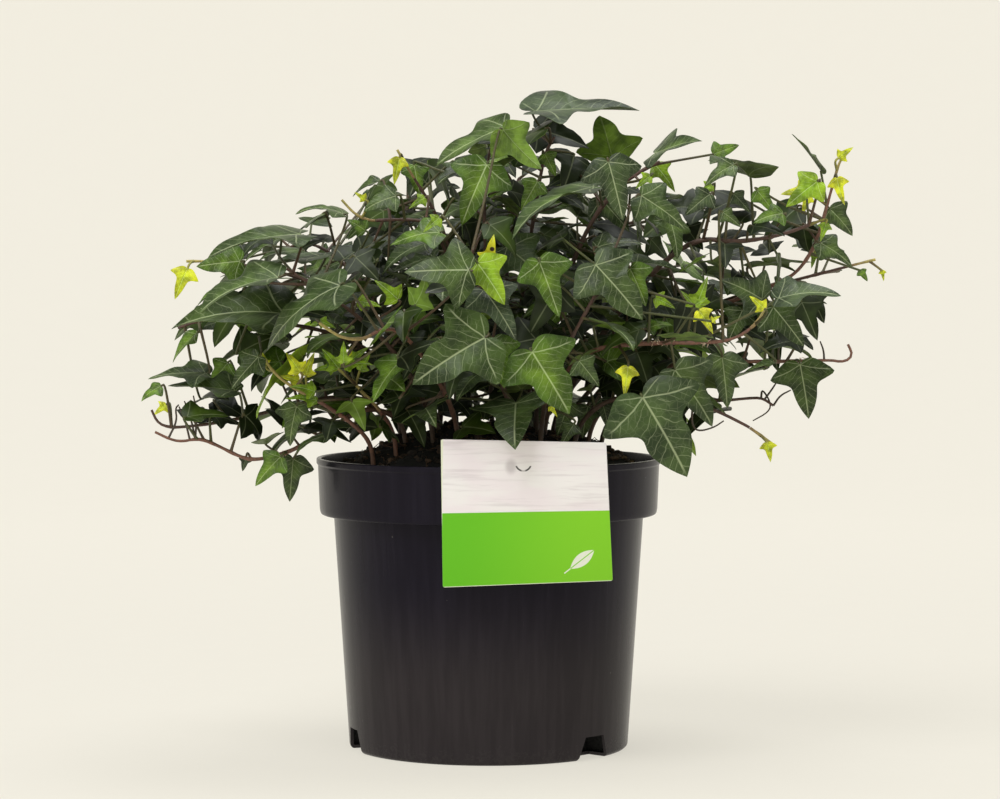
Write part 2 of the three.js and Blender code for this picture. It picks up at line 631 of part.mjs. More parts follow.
// Whether any of the points comes too near another piece, past the owner's own root
function crowded(points, reach, owner = -1, root = null) {
  for (const point of points) {
    const [i, j, k] = cellOf(point);
    for (let a = i - 1; a <= i + 1; a += 1) {
      for (let b = j - 1; b <= j + 1; b += 1) {
        for (let c = k - 1; c <= k + 1; c += 1) {
          for (const other of cells.get(`${a},${b},${c}`) ?? []) {
            const own = other.owner === owner && root && long(minus(other.point, root)) < 9;
            if (!own && long(minus(other.point, point)) < reach + other.reach + ROOM) {
              return true;
            }
          }
        }
      }
    }
  }
  return false;
}

// Whether any of the points touches the pot, the soil or the ground
function grounded(points) {
  return points.some(([x, y, z]) => {
    const out = Math.hypot(x, y);
    return z < 4 || (out < RIM_RADIUS + 3 && z < POT_HEIGHT + 4) || (out < 92 && z < soilHeight(x, y) + 4);
  });
}

function alongLine(points, step) {
  const total = lengthsAlong(points).at(-1);
  const count = Math.max(Math.ceil(total / step), 1);
  const found = [];
  const lengths = lengthsAlong(points);
  let i = 0;
  for (let n = 0; n <= count; n += 1) {
    const s = (total * n) / count;
    while (i + 2 < points.length && lengths[i + 1] < s) {
      i += 1;
    }
    found.push(mix(points[i], points[i + 1], (s - lengths[i]) / (lengths[i + 1] - lengths[i])));
  }
  return found;
}

// A leaf: its blade is laid out on a frame from foot to tip, folded along its rib and arched

function bladeFrame(leaf) {
  const along = unit(minus(leaf.tip, leaf.foot));
  const side = unit(cross(along, leaf.face));
  const up = cross(side, along);
  return { along, side, up, size: long(minus(leaf.tip, leaf.foot)) };
}

function bladePoint(leaf, frame, across, along) {
  const hump = leaf.arch * 4 * along * (1 - along);
  const lift = hump + leaf.fold * Math.abs(across) - leaf.sag * across * across;
  const { size } = frame;
  const onRib = plus(leaf.foot, frame.along, along * size);
  return plus(plus(onRib, frame.side, across * size * leaf.wide), frame.up, lift * size);
}

function halfWidth(along) {
  let i = 0;
  while (i + 2 < LOBE_BIG.length && LOBE_BIG[i + 1][1] < along) {
    i += 1;
  }
  const [near, far] = LOBE_BIG.slice(i, i + 2);
  return near[0] + ((far[0] - near[0]) * (along - near[1])) / (far[1] - near[1]);
}

function bladeSamples(leaf) {
  const frame = bladeFrame(leaf);
  const found = [];
  const [, lowest] = LOBE_BIG[0];
  const rows = Math.ceil(((1 - lowest) * frame.size) / SPACING);
  for (let i = 0; i <= rows; i += 1) {
    const along = lowest + ((1 - lowest) * i) / rows;
    const half = halfWidth(along);
    const columns = Math.ceil((2 * half * frame.size) / SPACING) || 1;
    for (let j = 0; j <= columns; j += 1) {
      found.push(bladePoint(leaf, frame, half * ((2 * j) / columns - 1), along));
    }
  }
  return found;
}

// The petiole's line, from the stem to the blade's foot, with a straight end
function petioleLine(anchor, leaf) {
  const frame = bladeFrame(leaf);
  const knee = plus(leaf.foot, frame.along, -KNEE);
  const span = long(minus(knee, anchor));
  if (dot(unit(minus(leaf.foot, anchor)), frame.along) > STRAIGHT) {
    return [anchor, leaf.foot];
  }
  if (span < LONG_PETIOLE) {
    return [anchor, knee, leaf.foot];
  }
  const middle = mix(anchor, knee, 0.55);
  return [anchor, plus(middle, [0, 0, -1], span * PETIOLE_SAG), knee, leaf.foot];
}

function leafShape(foot, tip, face, tone, random) {
  return {
    foot,
    tip,
    face: unit(face),
    tone,
    wide: 0.86 + 0.24 * random(),
    fold: 0.08 + 0.3 * random(),
    sag: 0.2 + 0.35 * random(),
    arch: 0.02 + 0.09 * random(),
  };
}

// Where a leaf could join the stems, nearest first
function anchorsFor(leaf, stems) {
  const found = [];
  stems.forEach((stem, owner) => {
    if (stem.young && leaf.tone < 2) {
      return;
    }
    const line = alongLine(stem.points, 4).slice(stem.young ? 1 : 9);
    const gaps = line.map((point) => long(minus(point, leaf.foot)));
    let nearest = 0;
    gaps.forEach((gap, i) => {
      if (gap < gaps[nearest]) {
        nearest = i;
      }
    });
    for (const back of [1, 4, 8]) {
      const i = nearest - back;
      if (i >= 0 && gaps[i] > 7 && gaps[i] < 75) {
        const bonus = stem.young === leaf.tone >= 2 ? 0 : 25;
        found.push({ owner, point: line[i], cost: gaps[i] + bonus });
      }
    }
  });
  return found.sort((a, b) => a.cost - b.cost).slice(0, 8);
}

function join(leaf, stems, samples) {
  if (grounded(samples) || crowded(samples, BLADE_REACH)) {
    return false;
  }
  for (const { owner, point } of anchorsFor(leaf, stems)) {
    const line = petioleLine(point, leaf);
    const arrival = unit(minus(line[1], line[0]));
    const path = alongLine(line, LINE_STEP);
    const outer = path.slice(2);
    if (dot(arrival, bladeFrame(leaf).along) < -0.75 || grounded(outer)) {
      continue;
    }
    if (!crowded(outer, PETIOLE_RADIUS + LINE_REACH, owner, point)) {
      keep(samples, BLADE_REACH, owner);
      keep(path.slice(0, -2), PETIOLE_RADIUS + LINE_REACH, owner);
      stems[owner].leaves.push({ ...leaf, line });
      return true;
    }
  }
  return false;
}

// A place seen on the plane through the pot's axis, taken back to its own depth
function seenAt([across, up, depth]) {
  const nearness = 1 + depth / -EYE[1];
  return [across * nearness, depth, EYE[2] + (up - EYE[2]) * nearness];
}

const frontMap = new Map();

function frontCell([x, y, z]) {
  const nearness = 1 + y / -EYE[1];
  return `${Math.floor(x / nearness / 5)},${Math.floor((z - EYE[2]) / nearness / 5)}`;
}

// Points that no filling leaf may come in front of
function keepInSight(points) {
  for (const point of points) {
    const key = frontCell(point);
    frontMap.set(key, Math.max(frontMap.get(key) ?? -1e9, point[1]));
  }
}

// A leaf of the front slides along the line of sight until it is clear
function settle(leaf, stems) {
  for (const step of SETTLE_STEPS) {
    const shift = scaled(unit(minus(leaf.foot, EYE)), step);
    const moved = { ...leaf, foot: plus(leaf.foot, shift), tip: plus(leaf.tip, shift) };
    const samples = bladeSamples(moved);
    if (join(moved, stems, samples)) {
      keepInSight(samples);
      return true;
    }
  }
  return false;
}

function hidesFront(samples) {
  const covering = samples.filter((point) => (frontMap.get(frontCell(point)) ?? -1e9) > point[1]);
  return covering.length > samples.length * 0.12;
}

function outsideBush(leaf) {
  const [a, b, c] = [0, 1, 2].map((i) => (leaf.tip[i] - BUSH_CENTRE[i]) / BUSH_RADII[i]);
  return a * a + b * b + c * c > 1;
}

function insideOutline([x, y, z]) {
  const nearness = 1 + y / -EYE[1];
  const across = x / nearness;
  const up = EYE[2] + (z - EYE[2]) / nearness;
  let inside = false;
  BUSH_OUTLINE.forEach(([x1, z1], i) => {
    const [x2, z2] = BUSH_OUTLINE.at(i - 1);
    if (z1 > up !== z2 > up && across < x1 + ((x2 - x1) * (up - z1)) / (z2 - z1)) {
      inside = !inside;
    }
  });
  return inside;
}

function leavesOutline(samples) {
  const outside = samples.filter((point) => !insideOutline(point));
  return outside.length > samples.length * 0.04;
}

// A filling leaf: its petiole leaves the stem outward and up, and its blade looks outward
function fillingLeaf(stem, random) {
  const line = stem.points;
  const spot = alongLine(line, 4);
  const share = FILL_START + (1 - FILL_START) * random();
  const start = spot[Math.floor(share * (spot.length - 1))];
  const out = unit([start[0] - BUSH_CENTRE[0], start[1] - BUSH_CENTRE[1], (start[2] - 200) * 0.6]);
  const any = () => 2 * random() - 1;
  const leave = unit([out[0] + any() * 0.9, out[1] + any() * 0.9, out[2] * 0.5 + 0.45 + any() * 0.7]);
  const foot = plus(start, leave, 14 + 30 * random());
  const reach = stem.young ? 12 + 8 * random() : 20 + 28 * random() ** 0.8;
  const point = unit([out[0] * 0.7 + any() * 0.7, out[1] * 0.7 + any() * 0.7, -0.35 + any() * 0.45]);
  const face = [out[0] * 0.7 + any() * 0.3, out[1] * 0.7 + any() * 0.3, 0.75 + any() * 0.3];
  const tone = random() < 0.12 ? 2 : random() < 0.3 ? 1 : 0;
  return leafShape(foot, plus(foot, point, reach), face, tone, random);
}

function fill(stems) {
  stems.forEach((stem, owner) => {
    if (stem.young) {
      return;
    }
    const total = lengthsAlong(stem.points).at(-1);
    const count = Math.round((total * (1 - FILL_START)) / FILL_SPACING);
    for (let n = 0; n < count; n += 1) {
      const random = draws(SEED + owner * 100 + n);
      for (let attempt = 0; attempt < FILL_TRIES; attempt += 1) {
        const leaf = fillingLeaf(stem, random);
        const samples = bladeSamples(leaf);
        const misplaced = outsideBush(leaf) || leavesOutline(samples) || hidesFront(samples);
        if (!misplaced && join(leaf, stems, samples)) {
          break;
        }
      }
    }
  });
}

// Blade and petiole are one closed skin

function lobesFor(size) {
  if (size > BIG_BLADE) {
    return LOBE_BIG;
  }
  return size > SMALL_BLADE ? LOBE_MIDDLE : LOBE_SMALL;
}

function leafSolid(leaf) {
  const frame = bladeFrame(leaf);
  const lobes = lobesFor(frame.size);
  const foot = BLADE_FOOT / (frame.size * leaf.wide);
  const right = [[foot, 0], ...lobes];
  const left = right.slice(0, -1).map(([across, along]) => [-across, along]).reverse();
  const outline = [...right, ...left];
  const places = [];
  const put = (across, along, lift) => {
    places.push(plus(bladePoint(leaf, frame, across, along), frame.up, lift));
    return places.length - 1;
  };
  const half = BLADE_THICK / 2;
  const upper = outline.map(([across, along]) => put(across, along, half));
  const under = outline.slice(1, -1).map(([across, along]) => put(across, along, -half));
  const heel = put(0, 0, -half);
  under.unshift(heel);
  under.push(heel);
  const upperHeart = put(HEART[0], HEART[1], half);
  const underHeart = put(HEART[0], HEART[1], -half);
  const triangles = [[upperHeart, upper.at(-1), upper[0]]];
  for (let i = 0; i + 1 < upper.length; i += 1) {
    triangles.push([upperHeart, upper[i], upper[i + 1]]);
    triangles.push([underHeart, under[i + 1], under[i]]);
    triangles.push([upper[i], under[i], under[i + 1]], [upper[i], under[i + 1], upper[i + 1]]);
  }
  let ring = [upper[0], upper.at(-1), heel];
  const line = [...leaf.line].reverse();
  for (let i = 1; i < line.length; i += 1) {
    const from = line[i - 1];
    const to = line[Math.min(i + 1, line.length - 1)];
    const along = unit(minus(from, to));
    const side = unit(cross(along, frame.up));
    const up = cross(side, along);
    const corner = (a, b) => {
      places.push(plus(plus(line[i], side, a * PETIOLE_RADIUS), up, b * PETIOLE_RADIUS));
      return places.length - 1;
    };
    const next = [corner(0.87, 0.5), corner(-0.87, 0.5), corner(0, -1)];
    for (let k = 0; k < 3; k += 1) {
      const m = (k + 1) % 3;
      triangles.push([ring[k], ring[m], next[m]], [ring[k], next[m], next[k]]);
    }
    ring = next;
  }
  triangles.push([ring[0], ring[1], ring[2]]);
  return solid(facets(places, triangles));
}

function leafyStem(stem) {
  const bodies = [solid(tube(stem.points, stem.radii, STEM_SIDES)), ...stem.leaves.map(leafSolid)];
  const body = wasm.Manifold.union(bodies);
  return meshOf(stem.name, body, stem.young ? youngGrowth : foliage);
}

// The whole object

function grow() {
  const stems = growStems();
  stems.forEach((stem, owner) => {
    keep(alongLine(stem.points, LINE_STEP), STEM_RADIUS + LINE_REACH, owner);
  });
  const cardPoints = [];
  for (let across = -CARD_WIDTH / 2; across <= CARD_WIDTH / 2; across += SPACING) {
    for (let down = 0; down <= CARD_HEIGHT; down += SPACING) {
      cardPoints.push([CARD_CENTRE + across, cardFront(), POT_HEIGHT + CARD_ABOVE_RIM - down]);
    }
  }
  keep(cardPoints, BLADE_REACH, -2);
  keepInSight(cardPoints);
  LEAVES.forEach(([foot, tip, face, tone], i) => {
    const leaf = leafShape(seenAt(foot), seenAt(tip), face, tone, draws(SEED - 1 - i));
    settle(leaf, stems);
  });
  fill(stems);
  return stems;
}

const ivy = new THREE.Group();
const stems = grow();
const roots = stems.filter((stem) => !stem.young).map((stem) => stem.points[0]);
ivy.add(pot(), soil(roots), label());
for (const stem of stems) {
  ivy.add(leafyStem(stem));
}

export default ivy;
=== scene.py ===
"""A potted English ivy. The finish of its pot, soil, label and leafy stems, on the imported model."""

import math

import bpy
import numpy as np
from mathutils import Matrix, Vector


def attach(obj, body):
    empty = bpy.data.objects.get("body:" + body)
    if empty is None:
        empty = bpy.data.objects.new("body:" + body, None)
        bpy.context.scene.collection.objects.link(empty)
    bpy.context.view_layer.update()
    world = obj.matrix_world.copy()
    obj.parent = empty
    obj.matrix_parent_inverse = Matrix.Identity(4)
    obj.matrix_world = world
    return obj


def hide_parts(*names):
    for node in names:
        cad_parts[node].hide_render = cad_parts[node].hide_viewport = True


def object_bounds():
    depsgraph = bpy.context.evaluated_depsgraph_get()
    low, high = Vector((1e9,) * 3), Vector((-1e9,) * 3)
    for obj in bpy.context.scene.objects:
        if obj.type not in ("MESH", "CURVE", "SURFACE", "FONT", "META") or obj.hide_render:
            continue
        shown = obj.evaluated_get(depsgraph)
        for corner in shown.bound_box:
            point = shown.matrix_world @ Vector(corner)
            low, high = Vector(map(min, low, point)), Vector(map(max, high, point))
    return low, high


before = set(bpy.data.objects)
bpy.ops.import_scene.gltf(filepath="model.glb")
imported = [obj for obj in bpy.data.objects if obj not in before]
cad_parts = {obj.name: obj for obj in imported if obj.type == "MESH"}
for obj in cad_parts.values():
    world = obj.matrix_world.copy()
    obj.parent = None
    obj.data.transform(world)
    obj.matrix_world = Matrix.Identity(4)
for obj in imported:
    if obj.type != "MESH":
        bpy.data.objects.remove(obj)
cad_box = [list(corner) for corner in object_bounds()]

MM = 0.001

# Driving sizes of the pot, in millimetres
POT_HEIGHT = 160
RIM_RADIUS = 95
BASE_RADIUS = 77
BAND_FOOT = 129
BODY_TOP_RADIUS = 85.5
WALL = 1.8
BAND_INSET = 1.8
BAND_BEVEL = 2.5
LIP = 0.8
LIP_HEIGHT = 3
NOTCH_ANGLES = [-42.4, 77.6, 197.6]
NOTCH_WIDTH = 25
NOTCH_TOP_WIDTH = 14.5
NOTCH_HEIGHT = 12.5
NOTCH_DEPTH = 14

# Soil
SOIL_EDGE = 149
SOIL_MOUND = 26
SOIL_LUMP = 2.5
ROOT_DEPTH = 20

# Plant label
CARD_WIDTH = 90
CARD_ABOVE_RIM = 15
CARD_HEIGHT = 76
CARD_SLOPE = 3.5
CARD_THICK = 0.8
CARD_CENTRE = 20
TONGUE_GAP = 0.6

# Stems and leaves
STEM_RADIUS = 1.9
STEM_END_RADIUS = 0.9
TIP_GAP = 0.3
ROUTE_PLAY = 0.7
PETIOLE_RADIUS = 0.75
PETIOLE_SAG = 0.05
KNEE = 3
STRAIGHT = 0.5
LONG_PETIOLE = 34
BIG_BLADE = 37
SMALL_BLADE = 21

# Where the plant is seen from, level with its lower leaves
EYE = (0, -1775, 265)

# Room kept between pieces that don't grow on each other
SPACING = 3
ROOM = 0.5
BLADE_REACH = 2.2
LINE_STEP = 2
LINE_REACH = 0.6

# How near a leaf may lie to the pot and soil, and which places on the stems its petiole may reach
POT_CLEARANCE = 3
GROUND_CLEARANCE = 4
SOIL_REACH = 92
ROOT_CLEARANCE = 9
PETIOLE_REACH = 75
NEAREST_GAP = 7
YOUNG_NEAREST_GAP = 2.5
STEPS_BACK = (1, 4, 8)
OTHER_KIND = 25
MOST_ANCHORS = 8
TURNED_BACK = -0.75

# The shares of a leaf that may cover the front leaves, or leave the bush's outline
COVERING_SHARE = 0.12
OUTSIDE_SHARE = 0.04

SEED = 4711

# Each stem: its name, the length of its young end, and its route above the soil
STEMS = [
  ["left_low", 0, [[-45, -20, 186], [-66, -26, 190], [-86, -30, 178], [-100, -32, 168], [-112, -34, 163],
    [-130, -36, 160], [-141, -36, 165], [-155, -38, 173], [-168, -40, 170], [-180, -41, 176]]],
  ["left_mid", 0, [[-52, 2, 184], [-78, 0, 196], [-110, -10, 188], [-139, -16, 181], [-165, -18, 177],
    [-180, -20, 178], [-184, -20, 187]]],
  ["left_out", 0, [[-37, 7, 196], [-60, -5, 217], [-90, -20, 231], [-120, -30, 236], [-150, -35, 238],
    [-168, -36, 232]]],
  ["left_high", 22, [[-27, -6, 196], [-48, -10, 226], [-82, -20, 252], [-118, -28, 264], [-148, -34, 268],
    [-163, -38, 268]]],
  ["upper_left", 22, [[-18, 2, 200], [-18, -12, 240], [-22, -28, 274], [-33, -38, 290], [-47, -41, 291],
    [-60, -41, 289], [-71, -41, 292], [-79, -41, 301]]],
  ["top_left", 18, [[-10, 12, 200], [-14, 8, 250], [-26, -2, 290], [-40, -8, 312], [-50, -10, 329]]],
  ["top_middle", 0, [[2, 3, 200], [-1, -10, 250], [-3, -18, 300], [0, -20, 328], [6, -18, 342]]],
  ["top_right", 0, [[14, 10, 200], [18, 4, 250], [26, -6, 298], [30, -12, 326], [36, -12, 336]]],
  ["upper_right", 0, [[26, -2, 200], [36, -10, 240], [52, -20, 284], [69, -24, 308], [84, -25, 318],
    [93, -24, 322]]],
  ["right_high", 0, [[38, 0, 196], [60, -12, 226], [88, -26, 262], [112, -36, 281], [133, -38, 278],
    [155, -36, 281], [167, -34, 285], [177, -32, 289]]],
  ["right_rising", 12, [[48, 12, 194], [80, 8, 216], [120, -3, 241], [150, -14, 252], [167, -20, 260],
    [178, -21, 276], [183, -21, 293], [187, -21, 308], [190, -20, 320], [193, -20, 325]]],
  ["right_mid", 16, [[30, -22, 200], [44, -46, 214], [58, -64, 222], [74, -70, 224], [94, -71, 225],
    [112, -71, 224], [126, -71, 225], [137, -70, 230], [144, -69, 237], [148, -68, 245]]],
  ["right_low", 0, [[54, -10, 192], [76, -18, 206], [110, -26, 214], [149, -30, 213], [168, -30, 215],
    [183, -30, 215], [193, -30, 213], [198, -30, 217], [195, -30, 223]]],
  ["right_hanging", 14, [[46, -34, 190], [68, -46, 197], [100, -58, 192], [118, -60, 190], [134, -60, 183],
    [151, -60, 171]]],
  ["right_twig", 0, [[62, 6, 186], [88, -4, 195], [122, -11, 191], [138, -14, 192], [149, -15, 194],
    [156, -15, 189]]],
  ["left_young", 34, [[-62, -44, 174], [-70, -50, 179], [-79, -56, 186], [-90, -60, 193], [-106, -62, 201],
    [-116, -62, 210], [-119, -62, 216]]],
  ["left_sprig", 26, [[-50, -36, 180], [-58, -48, 188], [-66, -56, 196], [-73, -61, 205]]],
  ["front_middle", 0, [[14, -46, 184], [10, -54, 194], [4, -62, 212], [-6, -74, 238], [-12, -82, 262],
    [-8, -84, 274]]],
  ["front_right", 0, [[28, -42, 190], [34, -66, 208], [46, -82, 232], [56, -88, 250], [62, -88, 266]]],
  ["front_left", 0, [[-30, -28, 194], [-48, -52, 218], [-70, -72, 240], [-90, -82, 254], [-106, -86, 264]]],
  ["front_twig", 30, [[-16, -46, 190], [-30, -72, 212], [-46, -94, 232], [-56, -100, 233], [-65, -103, 227],
    [-77, -104, 228], [-88, -105, 236]]],
  ["far_right", 14, [[40, 24, 196], [84, 20, 224], [130, 10, 247], [170, -2, 259], [196, -10, 265],
    [212, -12, 269]]],
]

# Stems of the far side fan out by a rule
BACK_STEMS = 8
BACK_FIRST = 14
BACK_LAST = 166
BACK_ROOT = 36
BACK_REACH = [128, 112, 124, 104, 122, 108, 126, 118]
BACK_TOP = [236, 292, 252, 318, 262, 304, 244, 280]

# Leaves seen from the front: the blade's foot and tip as across, up and back from the pot's axis,
# the way its upper face looks, and its tone: 0 dark, 1 green, 2 lime, 3 yellow. Across and up are
# measured on the plane through the pot's axis.
LEAVES = [
  [[-104, 282, -70], [-155, 271, -85], [0, -0.22, 1], 0],
  [[-137, 268, -60], [-161, 265, -60], [0, -0.9, 0.3], 1],
  [[-166, 264, -45], [-173, 247, -45], [0, -1, 0.3], 3],
  [[-116, 259, -80], [-160, 241, -85], [-0.15, -0.3, 1], 0],
  [[-92, 270, -60], [-136, 262, -60], [0, -0.12, 1], 0],
  [[-113, 239, -60], [-175, 231, -60], [0, -0.45, 0.9], 0],
  [[-82, 255, -100], [-123, 220, -100], [-0.55, -0.45, 0.7], 0],
  [[-161, 228, -50], [-174, 212, -50], [-0.8, -0.5, 0.3], 1],
  [[-156, 206, -40], [-188, 204, -40], [0, -0.4, 1], 0],
  [[-140, 196, -45], [-177, 200, -45], [0, -0.35, 1], 0],
  [[-144, 212, -30], [-155, 198, -30], [0, -1, 0.3], 1],
  [[-127, 215, -35], [-142, 198, -35], [-0.5, -0.8, 0.3], 0],
  [[-181, 199, -40], [-192, 191, -40], [0, -0.7, 0.7], 1],
  [[-178, 189, -20], [-185, 183, -20], [0, -1, 0.3], 3],
  [[-123, 211, -60], [-125, 218, -60], [0, -1, 0.3], 3],
  [[-104, 207, -62], [-112, 218, -62], [0, -1, 0.3], 3],
  [[-101, 205, -58], [-96, 218, -58], [0, -1, 0.3], 3],
  [[-106, 188, -55], [-110, 166, -55], [-0.2, -0.9, 0.3], 0],
  [[-115, 160, -36], [-129, 144, -36], [-0.3, -0.9, 0.2], 1],
  [[-108, 159, -38], [-110, 135, -38], [0, -1, 0.2], 0],
  [[-134, 160, -34], [-136, 152, -34], [0, -1, 0.2], 0],
  [[-83, 209, -62], [-92, 220, -62], [0, -1, 0.3], 2],
  [[-79, 210, -66], [-75, 222, -66], [0, -1, 0.3], 3],
  [[-71, 208, -60], [-65, 218, -60], [0, -1, 0.3], 2],
  [[9, 342, -20], [-29, 322, -24], [-0.2, -0.4, 0.9], 0],
  [[-1, 321, -45], [-15, 288, -48], [0, -1, 0.25], 1],
  [[8, 340, -30], [29, 319, -34], [-0.6, 0.7, 0.4], 1],
  [[31, 327, -15], [37, 315, -15], [0, -1, 0.3], 1],
  [[-49, 325, -15], [-52, 310, -15], [0, -1, 0.3], 3],
  [[-60, 312, -30], [-75, 304, -30], [0, -0.3, 1], 0],
  [[-41, 321, -10], [-38, 304, -10], [0, -1, 0.3], 1],
  [[-35, 303, -28], [-44, 297, -28], [0, -1, 0.3], 2],
  [[-51, 304, -32], [-69, 296, -32], [0, -0.8, 0.5], 0],
  [[-68, 302, -44], [-74, 306, -44], [0, -1, 0.3], 3],
  [[-80, 294, -45], [-106, 295, -45], [0, -0.2, 1], 0],
  [[-68, 285, -50], [-78, 291, -50], [0, -1, 0.3], 1],
  [[-27, 284, -55], [-54, 276, -55], [0, -0.5, 0.8], 1],
  [[-27, 292, -50], [-36, 284, -50], [0, -1, 0.3], 2],
  [[0, 268, -88], [3, 283, -88], [0, -1, 0.2], 3],
  [[-6, 267, -98], [9, 244, -98], [0.1, -1, 0.2], 2],
  [[-11, 263, -90], [-46, 262, -90], [0, -0.9, 0.4], 0],
  [[-2, 226, -108], [-42, 200, -110], [0, -1, 0.3], 0],
  [[2, 224, -98], [9, 198, -100], [0.1, -1, 0.3], 1],
  [[-50, 247, -76], [-63, 258, -76], [0, -1, 0.3], 2],
  [[27, 312, -40], [18, 296, -40], [0, -1, 0.3], 1],
  [[58, 308, -50], [12, 283, -62], [-0.5, -0.25, 0.8], 0],
  [[26, 350, -20], [83, 351, -15], [0, -0.3, 1], 0],
  [[68, 325, 12], [61, 349, -8], [0, 1, 0.8], 1],
  [[66, 323, -62], [74, 291, -64], [0, -1, 0.3], 0],
  [[92, 327, -35], [117, 335, -58], [-0.2, -0.6, 0.8], 0],
  [[89, 315, -40], [81, 308, -40], [0, -1, 0.3], 2],
  [[92, 321, -26], [103, 306, -26], [0, -1, 0.3], 2],
  [[84, 304, -55], [109, 286, -58], [0, -0.9, 0.5], 0],
  [[61, 303, -28], [78, 284, -28], [0, -1, 0.3], 0],
  [[28, 268, -92], [39, 237, -94], [0.1, -1, 0.3], 1],
  [[60, 276, -75], [85, 278, -75], [0, -0.5, 0.85], 0],
  [[59, 266, -90], [85, 236, -96], [0, -1, 0.3], 0],
  [[78, 264, -108], [87, 243, -108], [0.2, -1, 0.2], 1],
  [[92, 248, -80], [103, 242, -80], [0, -1, 0.3], 2],
  [[24, 218, -108], [45, 184, -110], [0, -1, 0.3], 1],
  [[50, 213, -85], [61, 199, -85], [0, -1, 0.3], 0],
  [[77, 210, -90], [75, 193, -90], [0, -1, 0.3], 3],
  [[85, 193, -102], [110, 149, -106], [0.1, -1, 0.2], 0],
  [[103, 208, -75], [124, 177, -78], [0.2, -0.9, 0.3], 0],
  [[34, 188, -80], [38, 182, -80], [0, -1, 0.3], 3],
  [[124, 327, -15], [138, 332, -15], [0, -1, 0.3], 1],
  [[143, 316, -18], [122, 321, -52], [0, -0.2, 1], 0],
  [[135, 321, -66], [119, 309, -66], [0, -0.7, 0.6], 0],
  [[123, 310, -48], [115, 304, -48], [0, -1, 0.3], 2],
  [[122, 305, -60], [108, 293, -60], [0, -1, 0.3], 0],
  [[135, 305, -35], [144, 295, -35], [0, -1, 0.3], 0],
  [[148, 307, -46], [158, 294, -46], [0, -1, 0.3], 1],
  [[162, 294, -44], [146, 289, -48], [0, -0.8, 0.6], 1],
  [[129, 295, -50], [139, 287, -50], [0, -1, 0.3], 0],
  [[193, 325, -20], [201, 331, -20], [0, -1, 0.3], 3],
  [[183, 318, -15], [167, 338, -15], [0.8, -0.1, 0.6], 0],
  [[181, 312, -26], [164, 298, -26], [0, -1, 0.3], 2],
  [[192, 314, -26], [196, 299, -26], [-0.5, -0.9, 0.2], 3],
  [[188, 297, -26], [201, 282, -26], [0, -1, 0.3], 0],
  [[183, 278, -30], [201, 265, -30], [0, -0.7, 0.6], 0],
  [[205, 263, -12], [209, 257, -12], [0, -1, 0.3], 1],
  [[217, 263, -12], [218, 257, -12], [0, -1, 0.3], 3],
  [[159, 272, -36], [158, 253, -36], [1, -0.25, 0.1], 0],
  [[157, 243, -66], [174, 221, -66], [0, -1, 0.3], 0],
  [[160, 247, -55], [194, 249, -55], [0, -0.45, 0.9], 0],
  [[151, 247, -50], [128, 258, -50], [0, -1, 0.3], 0],
  [[152, 242, -76], [144, 249, -76], [0, -1, 0.3], 3],
  [[116, 241, -78], [124, 228, -78], [0, -1, 0.3], 3],
  [[115, 244, -66], [121, 260, -66], [0, -1, 0.3], 2],
  [[140, 241, -58], [132, 223, -58], [0, -1, 0.3], 0],
  [[172, 211, -40], [177, 181, -42], [0, -1, 0.3], 0],
  [[129, 215, -48], [132, 187, -50], [0, -1, 0.3], 0],
  [[157, 212, -40], [142, 207, -40], [0, -0.3, 1], 0],
  [[154, 168, -60], [156, 157, -60], [0, -1, 0.3], 3],
]

# Small leaves round the growing tips and low in the bush, which the solids don't have
YOUNG_LEAVES = [
  [[-105, 202, -60], [-115, 205, -60], [0, -1, 0.3], 3],
  [[-96, 196, -64], [-110, 199, -64], [0, -0.8, 0.6], 2],
  [[-95, 191, -58], [-112, 193, -58], [0, -0.5, 0.9], 2],
  [[-79, 210, -70], [-64, 211, -72], [0, -0.7, 0.7], 2],
  [[-85, 210, -66], [-97, 208, -66], [0, -0.8, 0.5], 2],
  [[-85, 212, -56], [-93, 218, -56], [0, -1, 0.3], 1],
  [[-80, 212, -72], [-80, 224, -72], [0, -1, 0.3], 2],
  [[-75, 214, -58], [-66, 221, -58], [0, -1, 0.3], 2],
  [[-84, 212, -62], [-89, 222, -60], [0, -1, 0.3], 3],
  [[-72, 246, -84], [-59, 243, -84], [0, -1, 0.4], 2],
  [[-93, 235, -76], [-84, 231, -76], [0, -1, 0.4], 2],
  [[113, 244, -72], [106, 252, -72], [0, -1, 0.3], 2],
  [[114, 244, -74], [121, 248, -74], [0, -1, 0.3], 2],
  [[123, 235, -76], [128, 238, -76], [0, -1, 0.3], 3],
  [[88, 231, -70], [102, 233, -70], [0, -0.6, 0.8], 1],
  [[175, 307, -22], [161, 305, -22], [0, -1, 0.4], 3],
  [[176, 304, -24], [173, 294, -24], [0, -1, 0.3], 3],
  [[175, 307, -20], [176, 315, -20], [0, -1, 0.3], 2],
  [[186, 289, -24], [183, 279, -24], [0, -1, 0.3], 2],
  [[180, 273, -24], [178, 264, -24], [0, -1, 0.3], 2],
  [[44, 190, -30], [38, 172, -32], [0.2, -1, 0.2], 0],
  [[55, 188, -28], [52, 170, -30], [-0.2, -1, 0.2], 0],
  [[36, 196, -26], [28, 178, -30], [0.1, -1, 0.3], 0],
  [[62, 192, -24], [66, 176, -26], [0.2, -1, 0.2], 0],
  [[47, 178, -20], [40, 166, -22], [0, -1, 0.4], 0],
]

